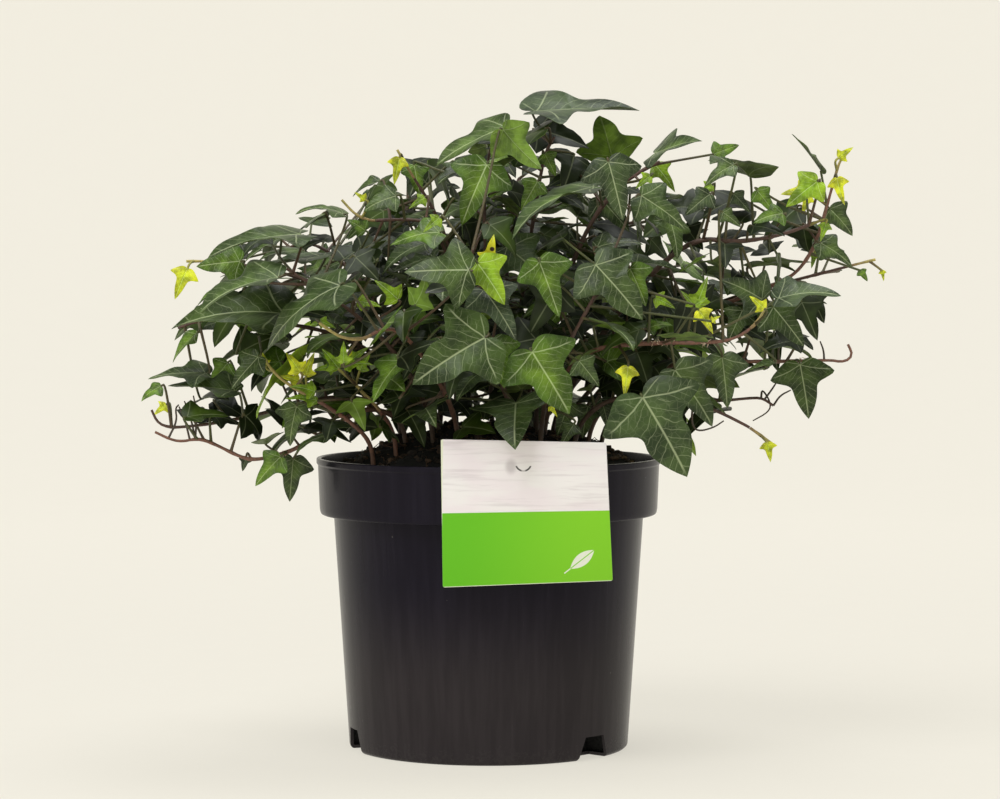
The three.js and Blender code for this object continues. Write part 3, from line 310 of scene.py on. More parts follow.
# Bare petioles and side shoots: the stem that carries them, and their way from it
BARE_TWIGS = [
  ["left_low", [[-172, 180, -40], [-173, 187, -40], [-171, 189, -40]]],
  ["left_low", [[-168, 182, -41], [-171, 188, -42]]],
  ["left_low", [[-161, 184, -39], [-163, 194, -39]]],
  ["left_low", [[-165, 184, -38], [-168, 191, -38]]],
  ["right_low", [[160, 221, -31], [164, 226, -31]]],
  ["right_low", [[185, 219, -30], [183, 224, -30]]],
  ["right_twig", [[157, 198, -15], [160, 203, -15]]],
  ["right_twig", [[161, 194, -15], [167, 197, -15]]],
  ["right_twig", [[151, 198, -14], [156, 190, -15], [155, 185, -15], [146, 180, -15]]],
  ["right_hanging", [[112, 179, -60], [115, 174, -60], [124, 176, -60], [130, 180, -60]]],
]

# Tufts of short aerial roots: the stem, and the share of its length where they grow
ROOT_TUFTS = [
  ["right_mid", 0.72], ["right_mid", 0.76], ["right_mid", 0.86], ["right_low", 0.84], ["right_low", 0.8],
  ["front_twig", 0.55], ["right_hanging", 0.7], ["left_low", 0.6],
]

# A lobed blade's right-hand edge in blade lengths, as the solids have it
LOBE_BIG = [[0.26, -0.13], [0.56, 0.17], [0.24, 0.37], [0.24, 0.6], [0, 1]]

# The finer edges that stand for it, by blade size
EDGE_BIG = [
    [0, 0], [0.06, -0.09], [0.17, -0.14], [0.29, -0.11], [0.39, -0.02], [0.49, 0.07], [0.575, 0.16],
    [0.52, 0.23], [0.37, 0.30], [0.265, 0.365], [0.235, 0.44], [0.25, 0.53], [0.235, 0.63],
    [0.17, 0.77], [0.085, 0.90], [0, 1],
]
EDGE_MIDDLE = [
    [0, 0], [0.06, -0.075], [0.17, -0.11], [0.28, -0.07], [0.40, 0.03], [0.555, 0.2], [0.44, 0.285],
    [0.29, 0.345], [0.225, 0.41], [0.205, 0.50], [0.185, 0.62], [0.13, 0.78], [0.06, 0.91], [0, 1],
]
EDGE_SMALL = [
    [0, 0], [0.08, -0.05], [0.21, -0.04], [0.34, 0.04], [0.47, 0.16], [0.39, 0.265], [0.27, 0.345],
    [0.225, 0.42], [0.20, 0.54], [0.145, 0.72], [0.07, 0.89], [0, 1],
]
EDGE_YOUNG = [
    [0, 0], [0.07, -0.035], [0.17, -0.02], [0.29, 0.075], [0.43, 0.235], [0.29, 0.275], [0.185, 0.345],
    [0.15, 0.46], [0.115, 0.66], [0.05, 0.87], [0, 1],
]
HEART = (0, 0.34)
FINE_RINGS = [0.94, 0.8, 0.6, 0.38, 0.18]
PLAIN_RINGS = [0.85, 0.5]
BLADE_THICK = 0.5
EDGE_THICK = 0.22

# Leaves that fill the bush behind those of the front
FILL_SPACING = 20
FILL_TRIES = 30
FILL_START = 0.3
BUSH_CENTRE = np.array([8, 0, 235])
BUSH_RADII = np.array([185, 150, 108])

# The bush's outline from the front, as across and up on the plane through the pot's axis
BUSH_OUTLINE = [
  [-162, 268], [-151, 280], [-125, 285], [-105, 284], [-104, 295], [-79, 299], [-70, 313],
  [-50, 326], [-29, 324], [-13, 339], [9, 348], [23, 341], [27, 355], [48, 359], [84, 352],
  [101, 344], [119, 333], [139, 332], [160, 324], [145, 312], [166, 311], [200, 314], [201, 282],
  [197, 268], [194, 248], [180, 222], [187, 209], [178, 182], [166, 203], [142, 205], [139, 187],
  [124, 176], [117, 180], [111, 151], [84, 174], [68, 180], [64, 192], [46, 184], [39, 169],
  [-27, 169], [-93, 164], [-106, 137], [-125, 145], [-140, 164], [-159, 175], [-181, 180],
  [-190, 192], [-186, 205], [-169, 218], [-176, 232], [-160, 247],
]
SETTLE_STEPS = [0, -6, 6, -12, 12, -18, 18, -24, 24, -32, 32, -40, 40]

# Shaded leaves between them, which only this finish has
SHADE_SPACING = 5
SHADE_START = 0.1
SHADE_TRIES = 24
SHADE_REACH = 0.9
SHADE_ROOM = 0.1
# Painted shade: the tints of the shaded leaves are darkened to this share of their brightness
PAINTED_SHADE_DARKNESS = 0.27
BOX_MARGIN = 3


# Small helpers


def vector(*numbers):
    return np.array(numbers, float)


def length(a):
    return math.sqrt(float(a @ a))


def unit(a):
    return a / length(a)


def mix(a, b, share):
    return a * (1 - share) + b * share


def draws(seed):
    """Evenly spread draws between 0 and 1 that are the same every time."""
    state = seed & 0xFFFFFFFF
    while True:
        state = (state + 0x6D2B79F5) & 0xFFFFFFFF
        t = state
        t = ((t ^ (t >> 15)) * (t | 1)) & 0xFFFFFFFF
        t = (t ^ (t + (((t ^ (t >> 7)) * (t | 61)) & 0xFFFFFFFF))) & 0xFFFFFFFF
        yield (t ^ (t >> 14)) / 4294967296


# Stems: each route starts straight up out of the soil, and its corners are cut once


def soil_height(x, y):
    share = np.minimum(np.hypot(x, y) / (RIM_RADIUS - WALL - 1), 1)
    lumps = np.sin(x * 0.13 + 1) * np.cos(y * 0.11) + np.sin(x * 0.05 - y * 0.17)
    return SOIL_EDGE + SOIL_MOUND * (1 - share**2.2) + SOIL_LUMP * lumps * (1 - share**4)


def cut_corners(route):
    found = [route[0]]
    for a, b in zip(route, route[1:]):
        found += [mix(a, b, 0.25), mix(a, b, 0.75)]
    return found + [route[-1]]


def thinned(points):
    """The same line without the points that hardly bend it."""
    found = [points[0]]
    for point, after in zip(points[1:], points[2:]):
        along = unit(after - found[-1])
        gap = point - found[-1]
        if length(gap - along * float(gap @ along)) > ROUTE_PLAY:
            found.append(point)
    return found + [points[-1]]


def back_routes():
    found = []
    for i in range(BACK_STEMS):
        turn = math.radians(BACK_FIRST + (BACK_LAST - BACK_FIRST) * i / (BACK_STEMS - 1))
        reach = BACK_REACH[i]
        top = BACK_TOP[i]
        rise = top - 195
        places = [
            (BACK_ROOT + 14 * (i % 2), 192),
            (reach * 0.5, 195 + rise * 0.55),
            (reach * 0.74, 195 + rise * 0.9),
            (reach * 0.9, top),
            (reach, top - 6),
        ]
        above = [[math.cos(turn) * out, math.sin(turn) * out, z] for out, z in places]
        found.append([f"back_{i + 1}", 0, above])
    return found


def lengths_along(points):
    found = [0.0]
    for a, b in zip(points, points[1:]):
        found.append(found[-1] + length(b - a))
    return found


def point_at(points, lengths, s):
    """The point that lies a length s along a line."""
    i = 0
    while i + 2 < len(points) and lengths[i + 1] < s:
        i += 1
    return mix(points[i], points[i + 1], (s - lengths[i]) / (lengths[i + 1] - lengths[i]))


def stretch(points, start, end):
    """The part of a line between two lengths along it."""
    lengths = lengths_along(points)
    inner = [p for p, s in zip(points, lengths) if start + 0.5 < s < end - 0.5]
    return [point_at(points, lengths, start), *inner, point_at(points, lengths, end)]


def along_line(points, step):
    """Points along the whole line, at most a step apart."""
    lengths = lengths_along(points)
    count = max(math.ceil(lengths[-1] / step), 1)
    return [point_at(points, lengths, lengths[-1] * n / count) for n in range(count + 1)]


class Stem:
    """One leafy stem, or the young end of one."""

    def __init__(self, name, young, points, radii):
        self.name = name
        self.young = young
        self.points = points
        self.radii = radii
        self.leaves = []
        self.spots = np.array(along_line(points, 4))
        self.joints = self.spots[1 if young else 9:]


def grow_stems():
    found = []
    for name, tip, above in [*STEMS, *back_routes()]:
        x, y = above[0][:2]
        ground = float(soil_height(x, y))
        route = [[x, y, ground - ROOT_DEPTH], [x, y, ground + 12], *above[1:]]
        route = thinned(cut_corners([vector(*point) for point in route]))
        total = lengths_along(route)[-1]
        parts = [(0, total - tip - TIP_GAP if tip else total, False)]
        if tip:
            parts.append((total - tip, total, True))
        for start, end, young in parts:
            points = stretch(route, start, end)
            radii = [
                STEM_RADIUS + (STEM_END_RADIUS - STEM_RADIUS) * (start + s) / total
                for s in lengths_along(points)
            ]
            ending = "_tip" if young else ""
            found.append(Stem(f"stem_{name}{ending}", young, points, radii))
    return found


# Room: every piece leaves points behind, and a new piece stays clear of them


class Room:
    WIDEST = STEM_RADIUS + LINE_REACH

    def __init__(self):
        self.points = np.empty((0, 3))
        self.reaches = np.empty(0)
        self.owners = np.empty(0, int)

    def keep(self, points, reach, owner):
        self.points = np.concatenate([self.points, points])
        self.reaches = np.concatenate([self.reaches, np.full(len(points), float(reach))])
        self.owners = np.concatenate([self.owners, np.full(len(points), owner)])

    def crowded(self, points, reach, owner=-1, root=None, room=ROOM):
        """Whether any of the points comes too near another piece, past the owner's own root."""
        if not len(points):
            return False
        points = np.asarray(points)
        margin = reach + self.WIDEST + room
        low = points.min(0) - margin
        high = points.max(0) + margin
        near = np.flatnonzero(((self.points > low) & (self.points < high)).all(1))
        if root is not None:
            own = self.owners[near] == owner
            own &= ((self.points[near] - root) ** 2).sum(1) < ROOT_CLEARANCE**2
            near = near[~own]
        if not len(near):
            return False
        limits = (reach + self.reaches[near] + room) ** 2
        others = self.points[near]
        gaps = sum((points[:, k, None] - others[None, :, k]) ** 2 for k in range(3))
        return bool((gaps < limits).any())


def grounded(points):
    """Whether any of the points touches the pot, the soil or the ground."""
    points = np.asarray(points)
    x, y, z = points.T
    out = np.hypot(x, y)
    on_pot = (out < RIM_RADIUS + POT_CLEARANCE) & (z < POT_HEIGHT + GROUND_CLEARANCE)
    on_soil = (out < SOIL_REACH) & (z < soil_height(x, y) + GROUND_CLEARANCE)
    return bool(((z < GROUND_CLEARANCE) | on_pot | on_soil).any())


# A leaf: its blade is laid out on a frame from foot to tip, folded along its rib and arched


class Leaf:
    def __init__(self, foot, tip, face, tone, random):
        self.foot = foot
        self.tip = tip
        self.face = unit(face)
        self.tone = tone
        self.wide = 0.86 + 0.24 * next(random)
        self.fold = 0.08 + 0.3 * next(random)
        self.sag = 0.2 + 0.35 * next(random)
        self.arch = 0.02 + 0.09 * next(random)
        self.line = None
        self.spot = False
        self.shaded = False
        self.lay_out()

    def lay_out(self):
        self.along = unit(self.tip - self.foot)
        self.side = unit(np.cross(self.along, self.face))
        self.up = np.cross(self.side, self.along)
        self.size = length(self.tip - self.foot)

    def shift(self, by):
        self.foot = self.foot + by
        self.tip = self.tip + by
        self.lay_out()

    def places(self, across, along):
        """The points of the blade's middle surface."""
        across = np.asarray(across, float)[:, None]
        along = np.asarray(along, float)[:, None]
        lift = self.arch * 4 * along * (1 - along) + self.fold * np.abs(across) - self.sag * across**2
        flat = self.along * (along * self.size) + self.side * (across * self.size * self.wide)
        return self.foot + flat + self.up * (lift * self.size)

    def samples(self):
        across = []
        along = []
        edge = np.array(LOBE_BIG)
        lowest = LOBE_BIG[0][1]
        rows = math.ceil((1 - lowest) * self.size / SPACING)
        for i in range(rows + 1):
            at = lowest + (1 - lowest) * i / rows
            half = float(np.interp(at, edge[:, 1], edge[:, 0]))
            columns = math.ceil(2 * half * self.size / SPACING) or 1
            for j in range(columns + 1):
                across.append(half * (2 * j / columns - 1))
                along.append(at)
        return self.places(across, along)


def petiole_line(anchor, leaf):
    """From the stem to the blade's foot, with a straight end."""
    knee = leaf.foot - leaf.along * KNEE
    span = length(knee - anchor)
    if float(unit(leaf.foot - anchor) @ leaf.along) > STRAIGHT:
        return [anchor, leaf.foot]
    if span < LONG_PETIOLE:
        return [anchor, knee, leaf.foot]
    middle = mix(anchor, knee, 0.55) - vector(0, 0, span * PETIOLE_SAG)
    return [anchor, middle, knee, leaf.foot]


def anchors_for(leaf, stems, nearest_gap):
    """Where a leaf could join the stems, nearest first."""
    found = []
    for owner, stem in enumerate(stems):
        if (stem.young and leaf.tone < 2) or not len(stem.joints):
            continue
        gaps = np.sqrt(((stem.joints - leaf.foot) ** 2).sum(1))
        nearest = int(np.argmin(gaps))
        for back in STEPS_BACK:
            i = nearest - back
            if i >= 0 and nearest_gap < gaps[i] < PETIOLE_REACH:
                strange = 0 if stem.young == (leaf.tone >= 2) else OTHER_KIND
                found.append((float(gaps[i]) + strange, owner, stem.joints[i]))
    found.sort(key=lambda anchor: anchor[0])
    return found[:MOST_ANCHORS]


def join(leaf, stems, room, samples, reach=BLADE_REACH, spare=ROOM, nearest_gap=NEAREST_GAP):
    if grounded(samples) or room.crowded(samples, reach, room=spare):
        return False
    for _, owner, anchor in anchors_for(leaf, stems, nearest_gap):
        line = petiole_line(anchor, leaf)
        path = along_line(line, LINE_STEP)
        outer = path[2:]
        turned_back = float(unit(line[1] - line[0]) @ leaf.along) < TURNED_BACK
        if turned_back or (outer and grounded(outer)):
            continue
        if not room.crowded(outer, PETIOLE_RADIUS + LINE_REACH, owner, anchor, spare):
            room.keep(samples, reach, owner)
            if path[:-2]:
                room.keep(path[:-2], PETIOLE_RADIUS + LINE_REACH, owner)
            leaf.line = line
            stems[owner].leaves.append(leaf)
            return True
    return False


def seen_at(place):
    """A place seen on the plane through the pot's axis, taken back to its own depth."""
    across, up, depth = place
    nearness = 1 + depth / -EYE[1]
    return vector(across * nearness, depth, EYE[2] + (up - EYE[2]) * nearness)


class Sight:
    """How far back the pieces lie that nothing may come in front of."""

    CELLS = 240
    CELL = 5

    def __init__(self):
        self.depth = np.full((self.CELLS, self.CELLS), -1e9)

    def cells(self, points):
        nearness = 1 + points[:, 1] / -EYE[1]
        across = np.floor(points[:, 0] / nearness / self.CELL).astype(int) + self.CELLS // 2
        up = np.floor((points[:, 2] - EYE[2]) / nearness / self.CELL).astype(int) + self.CELLS // 2
        return across, up

    def keep(self, points):
        np.maximum.at(self.depth, self.cells(points), points[:, 1])

    def hidden_share(self, points):
        return float((self.depth[self.cells(points)] > points[:, 1]).mean())


def settle(leaf, stems, room, sight, *fit):
    """A listed leaf slides along the line of sight until it is clear."""
    start = leaf.foot
    ray = unit(start - vector(*EYE))
    for step in SETTLE_STEPS:
        leaf.shift(start + ray * step - leaf.foot)
        samples = leaf.samples()
        if join(leaf, stems, room, samples, *fit):
            sight.keep(samples)
            return


def add_young(stems, room, sight):
    """The small leaves of the tips, which lie closer together."""
    for i, (foot, tip, face, tone) in enumerate(YOUNG_LEAVES):
        leaf = Leaf(seen_at(foot), seen_at(tip), vector(*face), tone, draws(SEED + 70000 + i))
        settle(leaf, stems, room, sight, SHADE_REACH, SHADE_ROOM, YOUNG_NEAREST_GAP)


def outside_bush(leaf):
    return float((((leaf.tip - BUSH_CENTRE) / BUSH_RADII) ** 2).sum()) > 1


def leaves_outline(samples):
    nearness = 1 + samples[:, 1] / -EYE[1]
    across = samples[:, 0] / nearness
    up = EYE[2] + (samples[:, 2] - EYE[2]) / nearness
    inside = np.zeros(len(samples), bool)
    for i, (x1, z1) in enumerate(BUSH_OUTLINE):
        x2, z2 = BUSH_OUTLINE[i - 1]
        if z1 == z2:
            continue
        crosses = (z1 > up) != (z2 > up)
        inside ^= crosses & (across < x1 + (x2 - x1) * (up - z1) / (z2 - z1))
    return float((~inside).sum()) > len(samples) * OUTSIDE_SHARE


def swung(base, spread, random):
    """A direction whose parts the next three draws move, each by up to its spread."""
    return base + vector(*[(2 * next(random) - 1) * part for part in spread])


def filling_leaf(stem, random):
    """Its petiole leaves the stem outward and up, and its blade looks outward."""
    share = FILL_START + (1 - FILL_START) * next(random)
    start = stem.spots[math.floor(share * (len(stem.spots) - 1))]
    out = unit(vector(start[0] - BUSH_CENTRE[0], start[1] - BUSH_CENTRE[1], (start[2] - 200) * 0.6))
    leave = swung(vector(out[0], out[1], out[2] * 0.5 + 0.45), (0.9, 0.9, 0.7), random)
    foot = start + unit(leave) * (14 + 30 * next(random))
    reach = 12 + 8 * next(random) if stem.young else 20 + 28 * next(random) ** 0.8
    point = swung(vector(out[0] * 0.7, out[1] * 0.7, -0.35), (0.7, 0.7, 0.45), random)
    face = swung(vector(out[0] * 0.7, out[1] * 0.7, 0.75), (0.3, 0.3, 0.3), random)
    tone = 2 if next(random) < 0.12 else 1 if next(random) < 0.3 else 0
    return Leaf(foot, foot + unit(point) * reach, face, tone, random)


def fill(stems, room, sight):
    for owner, stem in enumerate(stems):
        if stem.young:
            continue
        total = lengths_along(stem.points)[-1]
        for n in range(math.floor(total * (1 - FILL_START) / FILL_SPACING + 0.5)):
            random = draws(SEED + owner * 100 + n)
            for _ in range(FILL_TRIES):
                leaf = filling_leaf(stem, random)
                if outside_bush(leaf):
                    continue
                samples = leaf.samples()
                if leaves_outline(samples) or sight.hidden_share(samples) > COVERING_SHARE:
                    continue
                if join(leaf, stems, room, samples):
                    break


def grow():
    stems = grow_stems()
    room = Room()
    sight = Sight()
    for owner, stem in enumerate(stems):
        room.keep(along_line(stem.points, LINE_STEP), STEM_RADIUS + LINE_REACH, owner)
    card = []
    for across in range(-CARD_WIDTH // 2, CARD_WIDTH // 2 + 1, SPACING):
        for down in range(0, CARD_HEIGHT + 1, SPACING):
            front = -RIM_RADIUS - TONGUE_GAP - CARD_THICK
            card.append(vector(CARD_CENTRE + across, front, POT_HEIGHT + CARD_ABOVE_RIM - down))
    card = np.array(card)
    room.keep(card, BLADE_REACH, -2)
    sight.keep(card)
    for i, (foot, tip, face, tone) in enumerate(LEAVES):
        leaf = Leaf(seen_at(foot), seen_at(tip), vector(*face), tone, draws(SEED - 1 - i))
        leaf.spot = i == SPOTTED_LEAF
        settle(leaf, stems, room, sight)
    fill(stems, room, sight)
    return stems, room, sight


# Surfaces: each piece gathers its points, its faces and what the materials read at each point

LEAF_SLOT = 0
BARK_SLOT = 1
SHADED_SLOT = 2


class Skin:
    def __init__(self):
        self.points = []
        self.faces = []
        self.slots = []
        self.tints = []
        self.blades = []
        self.unders = []
        self.count = 0

    def add(self, points, faces, slot, tint, blade=(0, 0, 0), under=0.0):
        points = np.asarray(points, float)
        count = len(points)
        self.points.append(points)
        self.tints.append(np.broadcast_to(np.asarray(tint, float), (count, 3)))
        self.blades.append(np.broadcast_to(np.asarray(blade, float), (count, 3)))
        self.unders.append(np.broadcast_to(np.asarray(under, float), (count,)))
        self.faces += [[corner + self.count for corner in face] for face in faces]
        self.slots += [slot] * len(faces)
        self.count += count

    def piece(self, name, materials, slot, replaced=None, crease=50):
        points = np.concatenate(self.points) * MM
        mesh = bpy.data.meshes.new(name)
        mesh.from_pydata(points.tolist(), [], self.faces)
        for material in materials:
            mesh.materials.append(material)
        mesh.polygons.foreach_set("material_index", self.slots)
        tints = np.ones((self.count, 4), np.float32)
        tints[:, :3] = np.concatenate(self.tints)
        mesh.attributes.new("tint", "FLOAT_COLOR", "POINT").data.foreach_set("color", tints.ravel())
        blades = np.concatenate(self.blades).astype(np.float32)
        mesh.attributes.new("blade", "FLOAT_VECTOR", "POINT").data.foreach_set("vector", blades.ravel())
        unders = np.concatenate(self.unders).astype(np.float32)
        mesh.attributes.new("under", "FLOAT", "POINT").data.foreach_set("value", unders)
        mesh.polygons.foreach_set("use_smooth", [True] * len(mesh.polygons))
        mesh.set_sharp_from_angle(angle=math.radians(crease))
        mesh.update()
        return placed(bpy.data.objects.new(name, mesh), replaced)


def placed(piece, replaced=None):
    if piece.name not in bpy.context.scene.collection.objects:
        bpy.context.scene.collection.objects.link(piece)
    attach(piece, "root")
    if replaced:
        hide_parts(replaced)
    return piece


def grid_faces(rows, columns, closed=True):
    """Quads between rows of points, each row a ring of columns."""
    found = []
    for i in range(rows - 1):
        for k in range(columns if closed else columns - 1):
            m = (k + 1) % columns
            found.append([i * columns + k, i * columns + m, (i + 1) * columns + m, (i + 1) * columns + k])
    return found


def add_tube(skin, points, radii, sides, tints, slot=BARK_SLOT, seed=0.0):
    """A round tube through points, closed at both ends."""
    points = np.array(points)
    steps = np.gradient(points, axis=0)
    turns = 2 * math.pi * np.arange(sides) / sides
    side = None
    rings = []
    for point, step, radius in zip(points, steps, radii):
        along = unit(step)
        hint = side
        if hint is None:
            hint = vector(1, 0, 0) if abs(along[2]) > 0.9 else vector(0, 0, 1)
        side = unit(hint - along * float(hint @ along))
        other = np.cross(along, side)
        out = np.cos(turns)[:, None] * side + np.sin(turns)[:, None] * other
        rings.append(point + out * radius)
    faces = grid_faces(len(points), sides)
    last = (len(points) - 1) * sides
    faces.append([k for k in reversed(range(sides))])
    faces.append([last + k for k in range(sides)])
    tints = np.broadcast_to(np.asarray(tints, float), (len(points), 3))
    skin.add(np.concatenate(rings), faces, slot, np.repeat(tints, sides, axis=0), (0, 0, seed))


def smooth_curve(points, steps):
    """A curve through the points, with plain ends."""
    points = np.array(points, float)
    line = np.concatenate([[2 * points[0] - points[1]], points, [2 * points[-1] - points[-2]]])
    found = []
    for a, b, c, d in zip(line, line[1:], line[2:], line[3:]):
        for k in range(steps):
            t = k / steps
            bend = (2 * a - 5 * b + 4 * c - d) * t**2 + (3 * b - a - 3 * c + d) * t**3
            found.append(0.5 * (2 * b + (c - a) * t + bend))
    found.append(points[-1])
    return np.array(found)


# Leaves


def blade_pattern(edge, steps, inner_rings):
    """A blade's rings from edge to heart: each point's place, its ring and its share of the edge."""
    right = smooth_curve(edge, steps)
    left = right[-2:0:-1] * (-1, 1)
    outline = np.concatenate([right, left])
    count = len(outline)
    heart = np.array(HEART)
    rings = [heart + (outline - heart) * share for share in (1, *inner_rings)]
    places = np.concatenate([*rings, [heart]])
    shares = np.concatenate([np.repeat((1, *inner_rings), count), [0]])
    edge_share = np.concatenate([np.tile(np.arange(count) / count, len(rings)), [0]])
    faces = grid_faces(len(rings), count)
    inner = (len(rings) - 1) * count
    faces += [[inner + k, inner + (k + 1) % count, len(places) - 1] for k in range(count)]
    return places, shares, edge_share, faces, count


BIG, MIDDLE, SMALL, YOUNG, SHADED = range(5)
PATTERNS = [
    blade_pattern(EDGE_BIG, 2, FINE_RINGS),
    blade_pattern(EDGE_MIDDLE, 2, FINE_RINGS),
    blade_pattern(EDGE_SMALL, 2, FINE_RINGS),
    blade_pattern(EDGE_YOUNG, 2, FINE_RINGS),
    blade_pattern(EDGE_MIDDLE, 1, PLAIN_RINGS),
]

# Linear colours of blades by tone, as margin and centre above, and below
BLADE_MARGIN = [(0.030, 0.050, 0.013), (0.046, 0.094, 0.012), (0.20, 0.30, 0.018), (0.58, 0.55, 0.024)]
BLADE_CENTRE = [(0.090, 0.138, 0.038), (0.112, 0.186, 0.022), (0.16, 0.27, 0.016), (0.46, 0.52, 0.028)]
BLADE_BELOW = [(0.085, 0.120, 0.034), (0.105, 0.170, 0.026), (0.26, 0.38, 0.033), (0.52, 0.54, 0.055)]
SLATE = np.array((0.034, 0.048, 0.031))
BROWN_SPOT = (0.035, 0.016, 0.010)
YELLOW_RING = (0.60, 0.58, 0.022)
SPOTTED_LEAF = 38
SPOTTED_MARK = 2


def blade_tints(leaf, places, shares, random):
    margin = np.array(BLADE_MARGIN[leaf.tone])
    centre = np.array(BLADE_CENTRE[leaf.tone])
    if leaf.tone == 0:
        margin = mix(margin, SLATE, next(random) ** 2)
        centre = mix(margin, centre, next(random))
    # Painted shade: a shaded leaf's tints are darkened, on top of its random brightness
    brightness_and_painted_shade = (0.8 + 0.4 * next(random)) * (PAINTED_SHADE_DARKNESS if leaf.shaded else 1)
    near_rib = np.exp(-np.abs(places[:, 0]) * 5)
    weight = np.clip((1 - shares) * 0.8 + near_rib * 0.45, 0, 1)[:, None]
    return (margin * (1 - weight) + centre * weight) * brightness_and_painted_shade


def add_blade(skin, leaf, kind, seed):
    places, shares, edge_share, faces, count = PATTERNS[kind]
    random = draws(seed)
    across, along = places.T
    middle = leaf.places(across, along)
    waves = 5 + math.floor(4 * next(random))
    turn = 2 * math.pi * (edge_share * waves + next(random))
    slow = 2 * math.pi * (edge_share * 3 + next(random))
    curl = (0.35 * next(random) - 0.08) * np.clip(along - 0.55, 0, 1) ** 2
    ripple = 0.014 * shares**3 * np.sin(turn) + 0.016 * shares**2 * np.sin(slow) - curl
    middle = middle + leaf.up * (ripple * leaf.size)[:, None]
    half = (EDGE_THICK + (BLADE_THICK - EDGE_THICK) * (1 - shares**4)) / 2
    lift = leaf.up * half[:, None]
    above = blade_tints(leaf, places, shares, random)
    below = np.array(BLADE_BELOW[leaf.tone]) * (0.8 + 0.4 * next(random))
    total = len(places)
    own = np.full(total, SPOTTED_MARK if leaf.spot else next(random))
    blade = np.stack([across, along, own], 1)
    walls = [[k, k + total, (k + 1) % count + total, (k + 1) % count] for k in range(count)]
    under = [[corner + total for corner in reversed(face)] for face in faces]
    skin.add(
        np.concatenate([middle + lift, middle - lift]),
        faces + under + walls,
        SHADED_SLOT if leaf.shaded else LEAF_SLOT,
        np.concatenate([above, np.broadcast_to(below, above.shape)]),
        np.concatenate([blade, blade]),
        np.concatenate([np.zeros(total), np.ones(total)]),
    )


PETIOLE_GREEN = np.array((0.060, 0.080, 0.022))
PETIOLE_RED = np.array((0.074, 0.036, 0.024))
PETIOLE_PALE = np.array((0.34, 0.34, 0.07))
PALE_PETIOLE = 16


def add_petiole(skin, leaf, seed):
    random = draws(seed)
    line = cut_corners(cut_corners(leaf.line))
    count = len(line)
    radii = [PETIOLE_RADIUS * (0.85 + 0.5 * (1 - i / (count - 1)) ** 4) for i in range(count)]
    redness = next(random) ** 1.5
    short = lengths_along(leaf.line)[-1] < PALE_PETIOLE
    foot = PETIOLE_PALE if leaf.tone >= 2 and short else PETIOLE_GREEN
    start = mix(foot, PETIOLE_RED, min(redness + 0.3, 1))
    end = mix(foot, PETIOLE_RED, redness * 0.5)
    tints = [mix(start, end, i / (count - 1)) for i in range(count)]
    add_tube(skin, line, radii, 6, tints, seed=next(random))


# Bark: woody at the foot, then reddish, and pale where a stem still grows
STEM_SLIMMER = 0.78
THICK_STEMS = {"stem_right_high", "stem_upper_right"}
BARK_WOOD = np.array((0.060, 0.040, 0.026))
BARK_DARK = np.array((0.034, 0.020, 0.016))
BARK_RED = np.array((0.150, 0.070, 0.048))
BARK_YOUNG = np.array((0.38, 0.33, 0.10))
RED_STEMS = {"stem_right_mid", "stem_left_young", "stem_left_sprig", "stem_right_low", "stem_front_twig",
             "stem_right_rising", "stem_left_low"}


def stem_tint(stem, share):
    if stem.young:
        return mix(BARK_RED, BARK_YOUNG, 0.25 + 0.75 * share)
    if stem.name in RED_STEMS:
        return mix(BARK_WOOD, BARK_RED, min(share * 1.6, 1))
    return mix(BARK_WOOD, mix(BARK_DARK, BARK_RED, 0.35), share)


def add_stem(skin, stem, seed):
    """A round, slightly knotted tube, thicker where leaves join."""
    random = draws(seed)
    line = cut_corners(cut_corners(stem.points))
    line = along_line(line, 2.5)
    lengths = lengths_along(stem.points)
    total = lengths[-1]
    steps = np.linspace(0, total, len(line))
    radii = np.interp(steps, lengths, stem.radii) * (1 if stem.name in THICK_STEMS else STEM_SLIMMER)
    roots = [leaf.line[0] for leaf in stem.leaves]
    for i, point in enumerate(line):
        knot = max((1 - length(point - root) / 3.5 for root in roots), default=0)
        radii[i] *= 1 + 0.28 * max(knot, 0) + 0.10 * (next(random) - 0.5)
    tints = [stem_tint(stem, s / total) for s in steps]
    add_tube(skin, line, radii, 9, tints, seed=next(random))


TWIG_RADIUS = 0.5
TWIG_TINT = np.array((0.050, 0.036, 0.024))
ROOT_TINT = np.array((0.50, 0.40, 0.29))
ROOTS_IN_TUFT = 16
ROOT_RADIUS = 0.2


def add_twigs(skin, stem):
    """The bare twigs of one stem, each from the nearest place on it."""
    line = np.array(along_line(stem.points, 1))
    for n, (name, way) in enumerate(BARE_TWIGS):
        if name != stem.name.removeprefix("stem_"):
            continue
        way = [seen_at(place) for place in way]
        root = line[np.argmin(((line - way[0]) ** 2).sum(1))]
        path = cut_corners(cut_corners([root, *way]))
        radii = np.linspace(TWIG_RADIUS * 1.3, TWIG_RADIUS * 0.7, len(path))
        add_tube(skin, path, radii, 6, TWIG_TINT * (0.8 + 0.1 * (n % 5)), seed=n * 0.13)


def add_roots(skin, stem):
    """Tufts of short pale roots that cling to the stem."""
    line = np.array(along_line(stem.points, 1))
    for n, (name, share) in enumerate(ROOT_TUFTS):
        if name != stem.name.removeprefix("stem_"):
            continue
        random = draws(SEED + 80000 + n)
        for _ in range(ROOTS_IN_TUFT):
            root = line[int(share * (len(line) - 1)) + math.floor(6 * next(random)) - 3]
            out = unit(vector(*(2 * next(random) - 1 for _ in range(3))))
            bend = unit(vector(*(2 * next(random) - 1 for _ in range(3))))
            reach = 1.6 + 1.6 * next(random)
            path = [root, root + out * reach * 0.7, root + out * reach + bend * 0.7]
            add_tube(skin, path, [ROOT_RADIUS, ROOT_RADIUS, ROOT_RADIUS * 0.6], 5, ROOT_TINT)


def blade_kind(leaf):
    if leaf.shaded:
        return SHADED
    if leaf.size > BIG_BLADE:
        return BIG
    if leaf.size > SMALL_BLADE:
        return MIDDLE
    return YOUNG if leaf.tone >= 2 else SMALL


